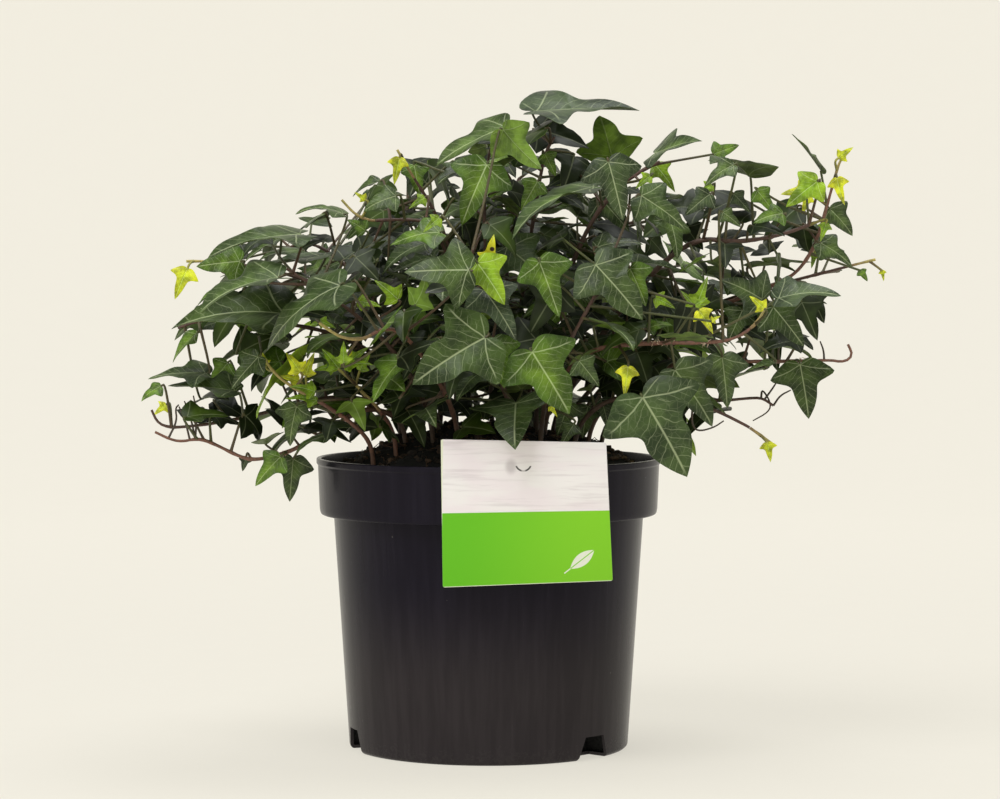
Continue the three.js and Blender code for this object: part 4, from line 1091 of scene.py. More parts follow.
def leafy_stem(owner, stem, materials):
    skin = Skin()
    add_stem(skin, stem, SEED + 31 * owner)
    add_twigs(skin, stem)
    add_roots(skin, stem)
    for n, leaf in enumerate(stem.leaves):
        seed = SEED + 1000 * (owner + 1) + 7 * n
        add_petiole(skin, leaf, seed)
        add_blade(skin, leaf, blade_kind(leaf), seed + 3)
    slot = "young_foliage" if stem.young else "foliage"
    skin.piece(stem.name + "_grown", materials, slot, stem.name)


# Materials are written as formulas over the surface


class Field:
    """A number on the surface, worked out by nodes."""

    def __init__(self, tree, socket):
        self.tree = tree
        self.socket = socket

    def math(self, kind, *others):
        node = self.tree.nodes.new("ShaderNodeMath")
        node.operation = kind
        for entry, value in zip(node.inputs, (self, *others)):
            feed(self.tree, entry, value)
        return Field(self.tree, node.outputs[0])

    def __add__(self, other):
        return self.math("ADD", other)

    def __sub__(self, other):
        return self.math("SUBTRACT", other)

    def __mul__(self, other):
        return self.math("MULTIPLY", other)

    def larger(self, other):
        return self.math("MAXIMUM", other)

    def size(self):
        return self.math("ABSOLUTE")

    def ease(self, low, high, start=0.0, end=1.0):
        """Goes smoothly from start to end as the number goes from low to high."""
        node = self.tree.nodes.new("ShaderNodeMapRange")
        node.interpolation_type = "SMOOTHSTEP"
        for name, value in (
            ("Value", self), ("From Min", low), ("From Max", high), ("To Min", start), ("To Max", end)
        ):
            feed(self.tree, node.inputs[name], value)
        return Field(self.tree, node.outputs["Result"])

    def line(self, width):
        """One where the number is nearly zero, and zero further than width from it."""
        return self.size().ease(width * 0.3, width, 1.0, 0.0)


def feed(tree, entry, value):
    if isinstance(value, Field):
        tree.links.new(value.socket, entry)
    elif isinstance(value, bpy.types.NodeSocket):
        tree.links.new(value, entry)
    else:
        entry.default_value = value


class Paint:
    """A material's node tree, with short ways to read the surface and mix colours."""

    def __init__(self, name):
        self.material = bpy.data.materials.new(name)
        self.material.use_nodes = True
        self.tree = self.material.node_tree
        self.tree.nodes.clear()
        self.output = self.tree.nodes.new("ShaderNodeOutputMaterial")

    def node(self, kind, **inputs):
        node = self.tree.nodes.new(kind)
        for name, value in inputs.items():
            feed(self.tree, node.inputs[name.replace("_", " ")], value)
        return node

    def read(self, name, output="Color"):
        node = self.tree.nodes.new("ShaderNodeAttribute")
        node.attribute_name = name
        return node.outputs[output]

    def position(self):
        return self.tree.nodes.new("ShaderNodeTexCoord").outputs["Object"]

    def parts(self, source):
        node = self.node("ShaderNodeSeparateXYZ", Vector=source)
        return [Field(self.tree, out) for out in node.outputs]

    def joined(self, x, y, z):
        return self.node("ShaderNodeCombineXYZ", X=x, Y=y, Z=z).outputs[0]

    def stretched(self, source, scale):
        node = self.node("ShaderNodeVectorMath", Vector=source)
        node.operation = "MULTIPLY"
        node.inputs[1].default_value = scale
        return node.outputs[0]

    def noise(self, source, scale, detail=3.0, rough=0.55):
        node = self.node("ShaderNodeTexNoise", Vector=source, Scale=scale, Detail=detail, Roughness=rough)
        return Field(self.tree, node.outputs["Fac"])

    def cells(self, source, scale, feature="DISTANCE_TO_EDGE"):
        node = self.node("ShaderNodeTexVoronoi", Vector=source, Scale=scale)
        node.feature = feature
        return Field(self.tree, node.outputs["Distance"])

    def mixed(self, share, a, b, blend="MIX"):
        """Colour a turning into colour b."""
        node = self.tree.nodes.new("ShaderNodeMix")
        node.data_type = "RGBA"
        node.blend_type = blend
        node.clamp_factor = True
        for entry, value in ((node.inputs[0], share), (node.inputs[6], a), (node.inputs[7], b)):
            feed(self.tree, entry, (*value, 1) if isinstance(value, (tuple, list)) else value)
        return node.outputs[2]

    def bump(self, height, distance, strength=1.0):
        return self.node("ShaderNodeBump", Height=height, Distance=distance, Strength=strength).outputs[0]

    def principled(self, **inputs):
        return self.node("ShaderNodeBsdfPrincipled", **inputs)

    def finish(self, shader):
        self.tree.links.new(shader.outputs[0], self.output.inputs["Surface"])
        return self.material


def vein_strength(paint, u, v, seed):
    """The ribs of a lobed blade: a midrib, two side ribs, two short ones to the base, and their twigs."""
    warp = paint.noise(paint.joined(u, v, seed * 9.0), 4.0, 2.0)
    x = u.size()
    y = v + (warp - 0.5) * 0.05
    side_line = y - (x * 0.5 - x * x * 0.35)
    midrib = x.line(0.017) * y.ease(0.86, 1.0, 1.0, 0.0) * y.ease(-0.02, 0.0)
    side_rib = side_line.line(0.014) * x.ease(0.42, 0.54, 1.0, 0.0)
    base_rib = (y + x * 0.4).line(0.012) * x.ease(0.2, 0.28, 1.0, 0.0)
    left = u.ease(-0.01, 0.01)
    steps = (y - x * 0.8) * 8.0 + left * 0.5 + warp
    twigs = (steps.math("FRACT") - 0.5).line(0.06) * side_line.ease(0.02, 0.06) * x.ease(0.16, 0.3, 1.0, 0.0)
    lobe_steps = (x - side_line.size() * 0.9) * 9.0 + warp
    lobe_twigs = (lobe_steps.math("FRACT") - 0.5).line(0.06) * side_line.size().ease(0.07, 0.13, 1.0, 0.0)
    lobe_twigs = lobe_twigs * x.ease(0.1, 0.16)
    net = paint.cells(paint.joined(u, y, seed * 5.0), 13.0).ease(0.0, 0.05, 0.17, 0.0)
    strong = midrib.larger(side_rib * 0.85).larger(base_rib * 0.6)
    fine = (twigs * 0.5).larger(lobe_twigs * 0.42).larger(net)
    return strong.larger(fine), strong


RIB_PALE = (0.280, 0.310, 0.190)


def leaf_paint(name, gloss, glow):
    paint = Paint(name)
    tint = paint.read("tint")
    u, v, seed = paint.parts(paint.read("blade", "Vector"))
    under = Field(paint.tree, paint.read("under", "Fac"))
    veins, strong = vein_strength(paint, u, v, seed)
    patches = paint.noise(paint.joined(u, v, seed * 31.0), 3.2, 4.0)
    mottled = paint.mixed(patches.ease(0.32, 0.68, 0.0, 0.55), tint, (2.2, 2.3, 1.7), "MULTIPLY")
    dusky = paint.mixed(patches.ease(0.6, 0.3, 0.0, 0.7), mottled, (0.5, 0.56, 0.52), "MULTIPLY")
    ribbed = paint.mixed(veins * (under * -0.55 + 0.95), dusky, RIB_PALE, "ADD")
    fleck = paint.cells(paint.joined(u, v, seed * 17.0), 9.0, "F1").ease(0.035, 0.06, 0.35, 0.0)
    colour = paint.mixed(fleck * (under * -1.0 + 1.0) * patches.ease(0.5, 0.6), ribbed, (0.30, 0.31, 0.25))
    spot_x = u - 0.04
    spot_y = v - 0.46
    spot = (spot_x * spot_x + spot_y * spot_y).math("SQRT")
    spotted = seed.ease(1.2, 1.8)
    colour = paint.mixed(spot.ease(0.14, 0.5, 0.9, 0.0) * spotted, colour, YELLOW_RING)
    colour = paint.mixed(spot.ease(0.06, 0.10, 1.0, 0.0) * spotted, colour, BROWN_SPOT)
    rough = patches * 0.18 + (under * 0.16 + gloss)
    pucker = paint.noise(paint.joined(u, v, seed * 13.0), 7.0, 2.0)
    height = pucker * 0.9 + strong * (under * 1.7 - 0.5)
    skin = paint.principled(
        Base_Color=colour, Roughness=rough, Normal=paint.bump(height, 0.0006, 0.8), Specular_IOR_Level=0.24
    )
    lit = paint.mixed(0.5, colour, (0.12, 0.30, 0.02), "ADD")
    through = paint.node("ShaderNodeBsdfTranslucent", Color=lit)
    both = paint.node("ShaderNodeMixShader", Fac=glow)
    paint.tree.links.new(skin.outputs[0], both.inputs[1])
    paint.tree.links.new(through.outputs[0], both.inputs[2])
    return paint.finish(both)


def shaded_leaf_paint():
    """Leaves deep in the bush, with only their main ribs."""
    paint = Paint("ivy_shaded_leaf")
    u, v, seed = paint.parts(paint.read("blade", "Vector"))
    x = u.size()
    side_rib = (v - (x * 0.5 - x * x * 0.35)).line(0.018) * x.ease(0.42, 0.54, 1.0, 0.0)
    ribs = (x.line(0.02) * v.ease(0.86, 1.0, 1.0, 0.0)).larger(side_rib * 0.8)
    patches = paint.noise(paint.joined(u, v, seed * 31.0), 3.2, 2.0)
    mottled = paint.mixed(patches.ease(0.32, 0.68, 0.0, 0.6), paint.read("tint"), (2.0, 2.1, 1.6), "MULTIPLY")
    colour = paint.mixed(ribs * 0.35, mottled, RIB_PALE, "ADD")
    return paint.finish(paint.principled(Base_Color=colour, Roughness=0.42, Specular_IOR_Level=0.22))


def bark_paint():
    paint = Paint("ivy_bark")
    place = paint.position()
    grain = paint.noise(paint.stretched(place, (1, 1, 0.6)), 900.0, 4.0)
    blotch = paint.noise(place, 160.0, 3.0)
    colour = paint.mixed(grain.ease(0.35, 0.7), paint.read("tint"), (1.5, 1.45, 1.35), "MULTIPLY")
    colour = paint.mixed(blotch.ease(0.5, 0.7, 0.0, 0.5), colour, (0.55, 0.6, 0.55), "MULTIPLY")
    rough = grain * 0.25 + 0.42
    normal = paint.bump(grain + blotch, 0.0005, 0.7)
    return paint.finish(paint.principled(Base_Color=colour, Roughness=rough, Normal=normal))


# The pot: a turned shell with rounded corners and three notches through its foot

POT_SIDES = 220
CORNER_STEPS = 4


def corner_curve(start, corner, end):
    """Points of a short curve from start to end that turns at the corner."""
    shares = [k / CORNER_STEPS for k in range(CORNER_STEPS + 1)]
    return [start * (1 - t) ** 2 + corner * (2 * t * (1 - t)) + end * t**2 for t in shares]


def rounded(corners):
    """Profile points with each corner replaced by a short curve of its own radius."""
    found = []
    for i, (radius, z, soft) in enumerate(corners):
        here = vector(radius, z)
        if not soft:
            found.append(here)
            continue
        before = vector(*corners[i - 1][:2])
        after = vector(*corners[i + 1][:2])
        start = here + unit(before - here) * min(soft, length(before - here) * 0.45)
        end = here + unit(after - here) * min(soft, length(after - here) * 0.45)
        found += corner_curve(start, here, end)
    return found


def pot_corners():
    return [
        (0, 0, 0),
        (BASE_RADIUS - 1.5, 0, 0.8),
        (BASE_RADIUS, 1.5, 0.8),
        (BODY_TOP_RADIUS, BAND_FOOT, 0.8),
        (RIM_RADIUS - BAND_BEVEL, BAND_FOOT, 1.1),
        (RIM_RADIUS - BAND_INSET, BAND_FOOT + BAND_BEVEL, 1.2),
        (RIM_RADIUS - LIP, POT_HEIGHT - LIP_HEIGHT - LIP, 0.4),
        (RIM_RADIUS, POT_HEIGHT - LIP_HEIGHT, 0.5),
        (RIM_RADIUS, POT_HEIGHT, 0.8),
        (RIM_RADIUS - LIP - WALL, POT_HEIGHT, 0.7),
        (RIM_RADIUS - BAND_INSET - WALL, BAND_FOOT + WALL, 0.8),
        (BODY_TOP_RADIUS - WALL, BAND_FOOT, 0.8),
        (BASE_RADIUS - WALL, WALL, 0.8),
        (0, WALL, 0),
    ]


def turned(profile, sides):
    """A closed solid turned about the pot's axis. The profile starts and ends on the axis."""
    inner = profile[1:-1]
    points = [(0, 0, profile[0][1])]
    turns = 2 * math.pi * np.arange(sides) / sides
    for radius, z in inner:
        points += list(zip(radius * np.cos(turns), radius * np.sin(turns), np.full(sides, z)))
    points.append((0, 0, profile[-1][1]))
    faces = [[corner + 1 for corner in face] for face in grid_faces(len(inner), sides)]
    last = 1 + (len(inner) - 1) * sides
    for k in range(sides):
        m = (k + 1) % sides
        faces.append([0, 1 + m, 1 + k])
        faces.append([len(points) - 1, last + k, last + m])
    return np.array(points), faces


def notch_block(angle, margin):
    """A notch's block, wider at the foot, reaching from inside the wall to past its outside."""
    half = NOTCH_WIDTH / 2 + margin
    half_top = NOTCH_TOP_WIDTH / 2 + margin
    top = NOTCH_HEIGHT + margin
    face = [(-half, -WALL), (half, -WALL), (half_top, top), (-half_top, top)]
    turn = math.radians(angle)
    out = vector(math.cos(turn), math.sin(turn), 0)
    across = vector(-math.sin(turn), math.cos(turn), 0)
    points = []
    for radius in (BASE_RADIUS - NOTCH_DEPTH - margin, BASE_RADIUS + 10):
        points += [out * radius + across * a + vector(0, 0, z) for a, z in face]
    faces = [[3, 2, 1, 0], [4, 5, 6, 7], [0, 1, 5, 4], [1, 2, 6, 5], [2, 3, 7, 6], [3, 0, 4, 7]]
    return points, faces


def plain_mesh(name, points, faces):
    mesh = bpy.data.meshes.new(name)
    mesh.from_pydata((np.asarray(points) * MM).tolist(), [], faces)
    mesh.update()
    found = bpy.data.objects.new(name, mesh)
    bpy.context.scene.collection.objects.link(found)
    return found


def carve(body, blocks):
    """Cuts the blocks out of the body and removes them."""
    cutters = [plain_mesh(f"cutter_{i}", *block) for i, block in enumerate(blocks)]
    for cutter in cutters:
        cut = body.modifiers.new("cut", "BOOLEAN")
        cut.operation = "DIFFERENCE"
        cut.solver = "EXACT"
        cut.object = cutter
    carved = bpy.data.meshes.new_from_object(body.evaluated_get(bpy.context.evaluated_depsgraph_get()))
    body.modifiers.clear()
    body.data = carved
    for cutter in cutters:
        bpy.data.objects.remove(cutter)
    return body


def finished(body, material, replaced, crease=35):
    mesh = body.data
    mesh.materials.clear()
    mesh.materials.append(material)
    mesh.polygons.foreach_set("material_index", [0] * len(mesh.polygons))
    mesh.polygons.foreach_set("use_smooth", [True] * len(mesh.polygons))
    mesh.set_sharp_from_angle(angle=math.radians(crease))
    mesh.update()
    return placed(body, replaced)


def pot_paint():
    paint = Paint("black_nursery_plastic")
    place = paint.position()
    x, y, z = paint.parts(place)
    streaks = paint.noise(paint.stretched(place, (1, 1, 0.05)), 210.0, 3.0)
    broad = paint.noise(paint.stretched(place, (1, 1, 0.25)), 26.0, 2.0)
    scuffs = paint.noise(place, 480.0, 5.0, 0.7)
    dust = paint.cells(place, 62.0, "F1").ease(0.018, 0.05, 1.0, 0.0) * scuffs.ease(0.52, 0.6)
    foot_wear = z.ease(0.0, 0.012, 0.5, 0.0) * scuffs.ease(0.45, 0.7)
    # Painted reflection and shade: the body is painted lighter towards the foot, for the pale floor it
    # reflects, and darker and bluer towards the rim
    upper_painted_shade = paint.mixed(streaks.ease(0.35, 0.7), (0.0078, 0.0062, 0.0125), (0.0112, 0.0092, 0.0170))
    lower_painted_reflection = paint.mixed(streaks.ease(0.35, 0.7), (0.0250, 0.0210, 0.0235), (0.0320, 0.0270, 0.0300))
    base = paint.mixed(z.ease(0.035, 0.10, 0.0, 1.0), lower_painted_reflection, upper_painted_shade)
    base = paint.mixed(foot_wear, base, (0.045, 0.042, 0.040))
    colour = paint.mixed(dust * 0.7, base, (0.22, 0.21, 0.20))
    rough = streaks * 0.10 + broad * 0.10 + dust * 0.5 + foot_wear * 0.4 + 0.15
    height = streaks * 0.25 + scuffs * 0.06
    normal = paint.bump(height, 0.0004, 0.35)
    shell = paint.principled(
        Base_Color=colour, Roughness=rough, Normal=normal, Specular_IOR_Level=0.10
    )
    return paint.finish(shell)


def make_pot():
    body = plain_mesh("pot_shell", *turned(rounded(pot_corners()), POT_SIDES))
    carve(body, [notch_block(angle, 0) for angle in NOTCH_ANGLES])
    finished(body, pot_paint(), "pot")


# The soil: a root ball whose top is lumpy, with crumbs, bits of bark and fibres on it

SOIL_GAP = 0.3
SOIL_NOTCH_ROOM = 2
SOIL_SIDES = 200
SOIL_RINGS = 62
CRUMBS = 1500
FIBRES = 130


def clump_height(x, y):
    """The fine lumps of the soil's top, in millimetres."""
    found = 0.0
    for i, (wave, height) in enumerate([(0.42, 0.9), (0.83, 0.6), (1.55, 0.42), (2.6, 0.25)]):
        turn = 1.1 * i + 0.4
        along = x * math.cos(turn) + y * math.sin(turn)
        across = y * math.cos(turn) - x * math.sin(turn)
        swirl = np.sin(along * wave + 2 * np.sin(across * wave * 0.7))
        found = found + height * swirl * np.cos(across * wave)
    return found


def soil_top(x, y):
    share = np.minimum(np.hypot(x, y) / (RIM_RADIUS - WALL - 1), 1)
    return soil_height(x, y) + clump_height(x, y) * (1 - share**8)


def make_soil(material):
    floor = (BASE_RADIUS - WALL - SOIL_GAP, WALL + SOIL_GAP)
    waist = (BODY_TOP_RADIUS - WALL - SOIL_GAP, BAND_FOOT + SOIL_GAP)
    edge = RIM_RADIUS - BAND_INSET - WALL - SOIL_GAP
    shoulder = (edge, BAND_FOOT + WALL + SOIL_GAP)
    profile = [(0, floor[1]), floor, waist, shoulder, (edge, SOIL_EDGE)]
    profile += [(edge * (1 - i / SOIL_RINGS), None) for i in range(1, SOIL_RINGS)]
    profile.append((0, None))
    points, faces = turned([(radius, z or 0) for radius, z in profile], SOIL_SIDES)
    first_top = 1 + 4 * SOIL_SIDES
    x, y = points[first_top:, 0], points[first_top:, 1]
    points[first_top:, 2] = soil_top(x, y)
    body = plain_mesh("soil_ball", points, faces)
    carve(body, [notch_block(angle, SOIL_NOTCH_ROOM) for angle in NOTCH_ANGLES])
    finished(body, material, "soil", crease=60)


def soil_paint():
    paint = Paint("potting_soil")
    place = paint.position()
    coarse = paint.noise(place, 260.0, 6.0, 0.65)
    fine = paint.noise(place, 1400.0, 4.0, 0.7)
    colour = paint.mixed(coarse.ease(0.3, 0.7), (0.009, 0.0065, 0.005), (0.038, 0.025, 0.016))
    colour = paint.mixed(fine.ease(0.55, 0.8, 0.0, 0.7), colour, (0.080, 0.050, 0.030))
    colour = paint.mixed(1.0, colour, paint.read("tint"), "MULTIPLY")
    rough = fine * 0.2 + 0.78
    normal = paint.bump(coarse + fine * 0.6, 0.0018, 0.9)
    return paint.finish(paint.principled(Base_Color=colour, Roughness=rough, Normal=normal))


def lump(random, centre, size, stretch=(1, 1, 1)):
    """A small rough lump: an octahedron split once, with its corners moved."""
    base = [(1, 0, 0), (-1, 0, 0), (0, 1, 0), (0, -1, 0), (0, 0, 1), (0, 0, -1)]
    sides = [(0, 2, 4), (2, 1, 4), (1, 3, 4), (3, 0, 4), (2, 0, 5), (1, 2, 5), (3, 1, 5), (0, 3, 5)]
    points = [vector(*p) for p in base]
    middles = {}

    def middle(a, b):
        key = (min(a, b), max(a, b))
        if key not in middles:
            middles[key] = len(points)
            points.append(unit(points[a] + points[b]))
        return middles[key]

    faces = []
    for a, b, c in sides:
        ab, bc, ca = middle(a, b), middle(b, c), middle(c, a)
        faces += [[a, ab, ca], [ab, b, bc], [ca, bc, c], [ab, bc, ca]]
    turn = 2 * math.pi * next(random)
    rows = [(math.cos(turn), math.sin(turn), 0), (-math.sin(turn), math.cos(turn), 0), (0, 0, 1)]
    spread = np.array([point * (0.65 + 0.6 * next(random)) for point in points]) * np.array(stretch)
    return centre + spread @ np.array(rows) * size, faces


CRUMB_TINTS = [(0.9, 0.9, 0.9), (1.6, 1.4, 1.2), (2.6, 2.3, 2.0), (4.6, 4.2, 3.6)]
PERLITE_TINT = (14.0, 22.0, 34.0)


def soil_spot(random, share=1.0):
    turn = 2 * math.pi * next(random)
    out = (RIM_RADIUS - BAND_INSET - WALL - 3) * math.sqrt(next(random)) * share
    x, y = out * math.cos(turn), out * math.sin(turn)
    return vector(x, y, float(soil_top(x, y)))


def make_crumbs(material):
    """Crumbs of peat, chips of bark and a few grains of perlite on the soil."""
    skin = Skin()
    random = draws(SEED + 90001)
    for n in range(CRUMBS):
        place = soil_spot(random)
        chip = next(random) < 0.16
        size = 0.7 + 1.9 * next(random) ** 2.2
        stretch = (1.9, 0.8, 0.5) if chip else (1, 1, 0.8)
        tint = CRUMB_TINTS[math.floor(4 * next(random) ** 1.7)]
        if n % 60 == 7:
            tint = PERLITE_TINT
            size = 0.8
        points, faces = lump(random, place + vector(0, 0, size * 0.35), size, stretch)
        skin.add(points, faces, 0, tint)
    for _ in range(FIBRES):
        start = soil_spot(random, 0.97)
        turn = 2 * math.pi * next(random)
        reach = 5 + 12 * next(random)
        line = []
        for k in range(6):
            turn += (next(random) - 0.5) * 0.9
            start = start + vector(math.cos(turn), math.sin(turn), 0) * reach / 5
            rise = 0.4 + 1.6 * math.sin(math.pi * k / 5) * next(random)
            line.append(vector(start[0], start[1], float(soil_top(start[0], start[1])) + rise))
        if np.hypot(*np.array(line)[:, :2].T).max() < RIM_RADIUS - 7:
            add_tube(skin, line, [0.22] * 6, 4, (3.2, 2.6, 1.9), slot=0)
    skin.piece("soil_crumbs", [material], "soil")


# The label: a card in front of the rim, with a tongue that folds over the rim into the soil

TONGUE_WIDTH = 10
TONGUE_DEPTH = 26
TONGUE_RISE = 2
TONGUE_INSIDE = 7
TONGUE_BEND = 1.2
TONGUE_MITRE = 0.35
TONGUE_FRONT = 4
CARD_CORNER = 1.2
CARD_EDGE = 0.18
SPLIT_LEFT = 136.2
SPLIT_RIGHT = 137.7
PRINT_MARGIN = 0.7
SLIT_CENTRE = (18.2, 162.4)
SLIT_RADIUS = 4
# Painted shadow: the centre of a grey patch beside the tongue's slit
SLIT_SHADOW_CENTRE = (11.6, 160.8)
MARK_CENTRE = (49, 112)
MARK_LENGTH = 8
MARK_WIDTH = 3.2
MARK_TURN = 38


def card_corners():
    """The card's four corners, from its top left, as across from the pot's axis and up."""
    wide = CARD_WIDTH / 2
    top = POT_HEIGHT + CARD_ABOVE_RIM
    foot = top - CARD_HEIGHT
    return [
        vector(CARD_CENTRE - wide, top),
        vector(CARD_CENTRE - wide + 1, foot - CARD_SLOPE / 2),
        vector(CARD_CENTRE + wide, foot + CARD_SLOPE / 2),
        vector(CARD_CENTRE + wide - CARD_SLOPE, top - CARD_SLOPE / 2),
    ]


def card_outline(inset):
    corners = card_corners()
    middle = sum(corners) / 4
    found = []
    for i, here in enumerate(corners):
        before = corners[i - 1]
        after = corners[(i + 1) % 4]
        start = here + unit(before - here) * CARD_CORNER
        end = here + unit(after - here) * CARD_CORNER
        curve = corner_curve(start, here, end)
        found += [point - np.sign(point - middle) * inset for point in curve]
    return found


def make_label(material):
    skin = Skin()
    front = -RIM_RADIUS - TONGUE_GAP - CARD_THICK
    loops = [
        (CARD_EDGE, front),
        (0, front + CARD_EDGE),
        (0, front + CARD_THICK - CARD_EDGE),
        (CARD_EDGE, front + CARD_THICK),
    ]
    rows = [[(x, depth, z) for x, z in card_outline(inset)] for inset, depth in loops]
    count = len(rows[0])
    faces = grid_faces(len(rows), count)
    faces.append(list(reversed(range(count))))
    faces.append([3 * count + k for k in range(count)])
    skin.add(np.concatenate(rows), [list(reversed(face)) for face in faces], 0, (1, 1, 1))
    back = -math.sqrt(RIM_RADIUS**2 - (CARD_CENTRE + TONGUE_WIDTH / 2) ** 2) + TONGUE_INSIDE
    start = front + CARD_THICK / 2
    top = POT_HEIGHT + TONGUE_RISE
    turn = [
        (start, top - TONGUE_FRONT),
        (start, top - TONGUE_BEND),
        (start + TONGUE_MITRE, top - TONGUE_MITRE),
        (start + TONGUE_BEND, top),
        (back - TONGUE_BEND, top),
        (back - TONGUE_MITRE, top - TONGUE_MITRE),
        (back, top - TONGUE_BEND),
        (back, POT_HEIGHT - TONGUE_DEPTH),
    ]
    line = np.array(turn)
    steps = np.gradient(line, axis=0)
    steps /= np.hypot(*steps.T)[:, None]
    sides = np.stack([-steps[:, 1], steps[:, 0]], 1) * (CARD_THICK / 2 - 0.02)
    rows = []
    for place, side in zip(line, sides):
        rows.append([
            (CARD_CENTRE + across * TONGUE_WIDTH / 2, *(place + side * lean))
            for across, lean in ((-1, 1), (1, 1), (1, -1), (-1, -1))
        ])
    faces = grid_faces(len(rows), 4)
    faces.append([0, 1, 2, 3])
    faces.append([4 * (len(rows) - 1) + k for k in (3, 2, 1, 0)])
    skin.add(np.concatenate(rows), faces, 0, (1, 1, 1))
    skin.piece("label_card", [material], "label_card", "label", crease=40)


def printed_leaf(x, z):
    """A plain pointed leaf with a bare midrib: one inside it, and zero outside."""
    turn = math.radians(MARK_TURN)
    dx = x - MARK_CENTRE[0] * MM
    dz = z - MARK_CENTRE[1] * MM
    along = dx * math.cos(turn) + dz * math.sin(turn)
    across = (dz * math.cos(turn) - dx * math.sin(turn)).size()
    bulge = along * along * (MARK_WIDTH / MARK_LENGTH**2 / MM) + across
    blade = bulge.ease((MARK_WIDTH - 0.1) * MM, (MARK_WIDTH + 0.1) * MM, 1.0, 0.0)
    rib = across.ease(0.15 * MM, 0.35 * MM)
    stalk = across.ease(0.2 * MM, 0.4 * MM, 1.0, 0.0) * along.ease(-12 * MM, -11.8 * MM)
    stalk = stalk * along.ease(-MARK_LENGTH * MM, -(MARK_LENGTH - 0.5) * MM, 1.0, 0.0)
    return (blade * rib).larger(stalk)


def label_paint():
    """Pale printed wood above, a fresh green below, and a thin unprinted edge at the left and foot."""
    paint = Paint("printed_card")
    place = paint.position()
    x, y, z = paint.parts(place)
    front = y.ease(-(RIM_RADIUS + TONGUE_GAP + CARD_THICK - 0.05) * MM, -(RIM_RADIUS + 0.9) * MM, 1.0, 0.0)
    slope = (SPLIT_RIGHT - SPLIT_LEFT) / CARD_WIDTH
    split = z - x * slope - (SPLIT_LEFT * MM + slope * (CARD_WIDTH / 2 - CARD_CENTRE) * MM)
    below = split.ease(-0.0001, 0.0001, 1.0, 0.0)
    warp = paint.noise(paint.stretched(place, (14, 14, 40)), 1.4, 3.0)
    bands = (z * 300.0 + warp * 6.0).math("SINE")
    grain = paint.noise(paint.joined(x * 26.0, y, bands * 0.35 + z * 420.0), 1.0, 5.0, 0.62)
    cloud = paint.noise(paint.stretched(place, (1, 1, 2.5)), 30.0, 2.0)
    wood = paint.mixed(cloud.ease(0.35, 0.65), (0.86, 0.80, 0.84), (0.88, 0.86, 0.87))
    wood = paint.mixed(grain.ease(0.48, 0.72, 0.0, 0.55), wood, (0.62, 0.57, 0.60))
    across = x.ease(-0.025, 0.065)
    green = paint.mixed(across, (0.130, 0.520, 0.012), (0.235, 0.640, 0.020))
    # Painted shadow: a soft grey patch on the card, left of the slit
    shadow_x = x - SLIT_SHADOW_CENTRE[0] * MM
    shadow_z = (z - SLIT_SHADOW_CENTRE[1] * MM) * 0.75
    painted_shadow = (shadow_x * shadow_x + shadow_z * shadow_z).math("SQRT").ease(1.2 * MM, 4.2 * MM, 0.7, 0.0)
    wood = paint.mixed(painted_shadow, wood, (0.50, 0.46, 0.48))
    slit_x = x - SLIT_CENTRE[0] * MM
    slit_z = z - SLIT_CENTRE[1] * MM
    slit = ((slit_x * slit_x + slit_z * slit_z).math("SQRT") - SLIT_RADIUS * MM).line(0.6 * MM)
    slit = slit * slit_z.ease(-1.6 * MM, -1.2 * MM, 1.0, 0.0)
    slit = slit * slit_x.size().ease(0.4 * MM, 1.6 * MM, 0.35, 1.0)
    wood = paint.mixed(slit, wood, (0.03, 0.03, 0.03))
    green = paint.mixed(printed_leaf(x, z), green, (0.84, 0.88, 0.76))
    printed = paint.mixed(below, wood, green)
    low = x * (CARD_SLOPE / CARD_WIDTH) + (POT_HEIGHT + CARD_ABOVE_RIM - CARD_HEIGHT - CARD_SLOPE / 2) * MM
    foot = (z - low).ease((PRINT_MARGIN + 0.5) * MM, (PRINT_MARGIN + 0.65) * MM)
    left = (x + z * -0.014).ease(-0.02625, -0.0261)
    printed = paint.mixed(foot * left, (0.80, 0.84, 0.66), printed)
    colour = paint.mixed(front, (0.80, 0.80, 0.78), printed)
    speck = paint.noise(place, 900.0, 2.0)
    rough = speck * 0.10 + 0.30
    normal = paint.bump(speck, 0.0001, 0.2)
    card = paint.principled(Base_Color=colour, Roughness=rough, Normal=normal, Specular_IOR_Level=0.25)
    return paint.finish(card)


# Stage, lights and camera

CAMERA_PLACE = (0, -1.775, 0.265)
CAMERA_AIM = (0.0063, 0, 0.1918)
CAMERA_LENS = 115.8

STAGE_RADIUS = 2.5
STAGE_CURVE = 0.9
STAGE_TOP = 1.7
STAGE_SIDES = 72


def floor_paint():
    """A pale cyclorama that is lit from within, as a studio's white sweep is."""
    paint = Paint("pale_floor")
    place = paint.position()
    x, y, z = paint.parts(place)
    out = (x * x + y * y).math("SQRT")
    grain = paint.noise(place, 40.0, 2.0)
    colour = paint.mixed(grain, (0.245, 0.236, 0.210), (0.255, 0.245, 0.218))
    sweep = paint.principled(
        Base_Color=colour,
        Roughness=0.9,
        Specular_IOR_Level=0.1,
        Emission_Color=(0.87, 0.838, 0.745, 1),
        Emission_Strength=out.ease(0.2, 1.8, 0.67, 0.764),
    )
    return paint.finish(sweep)


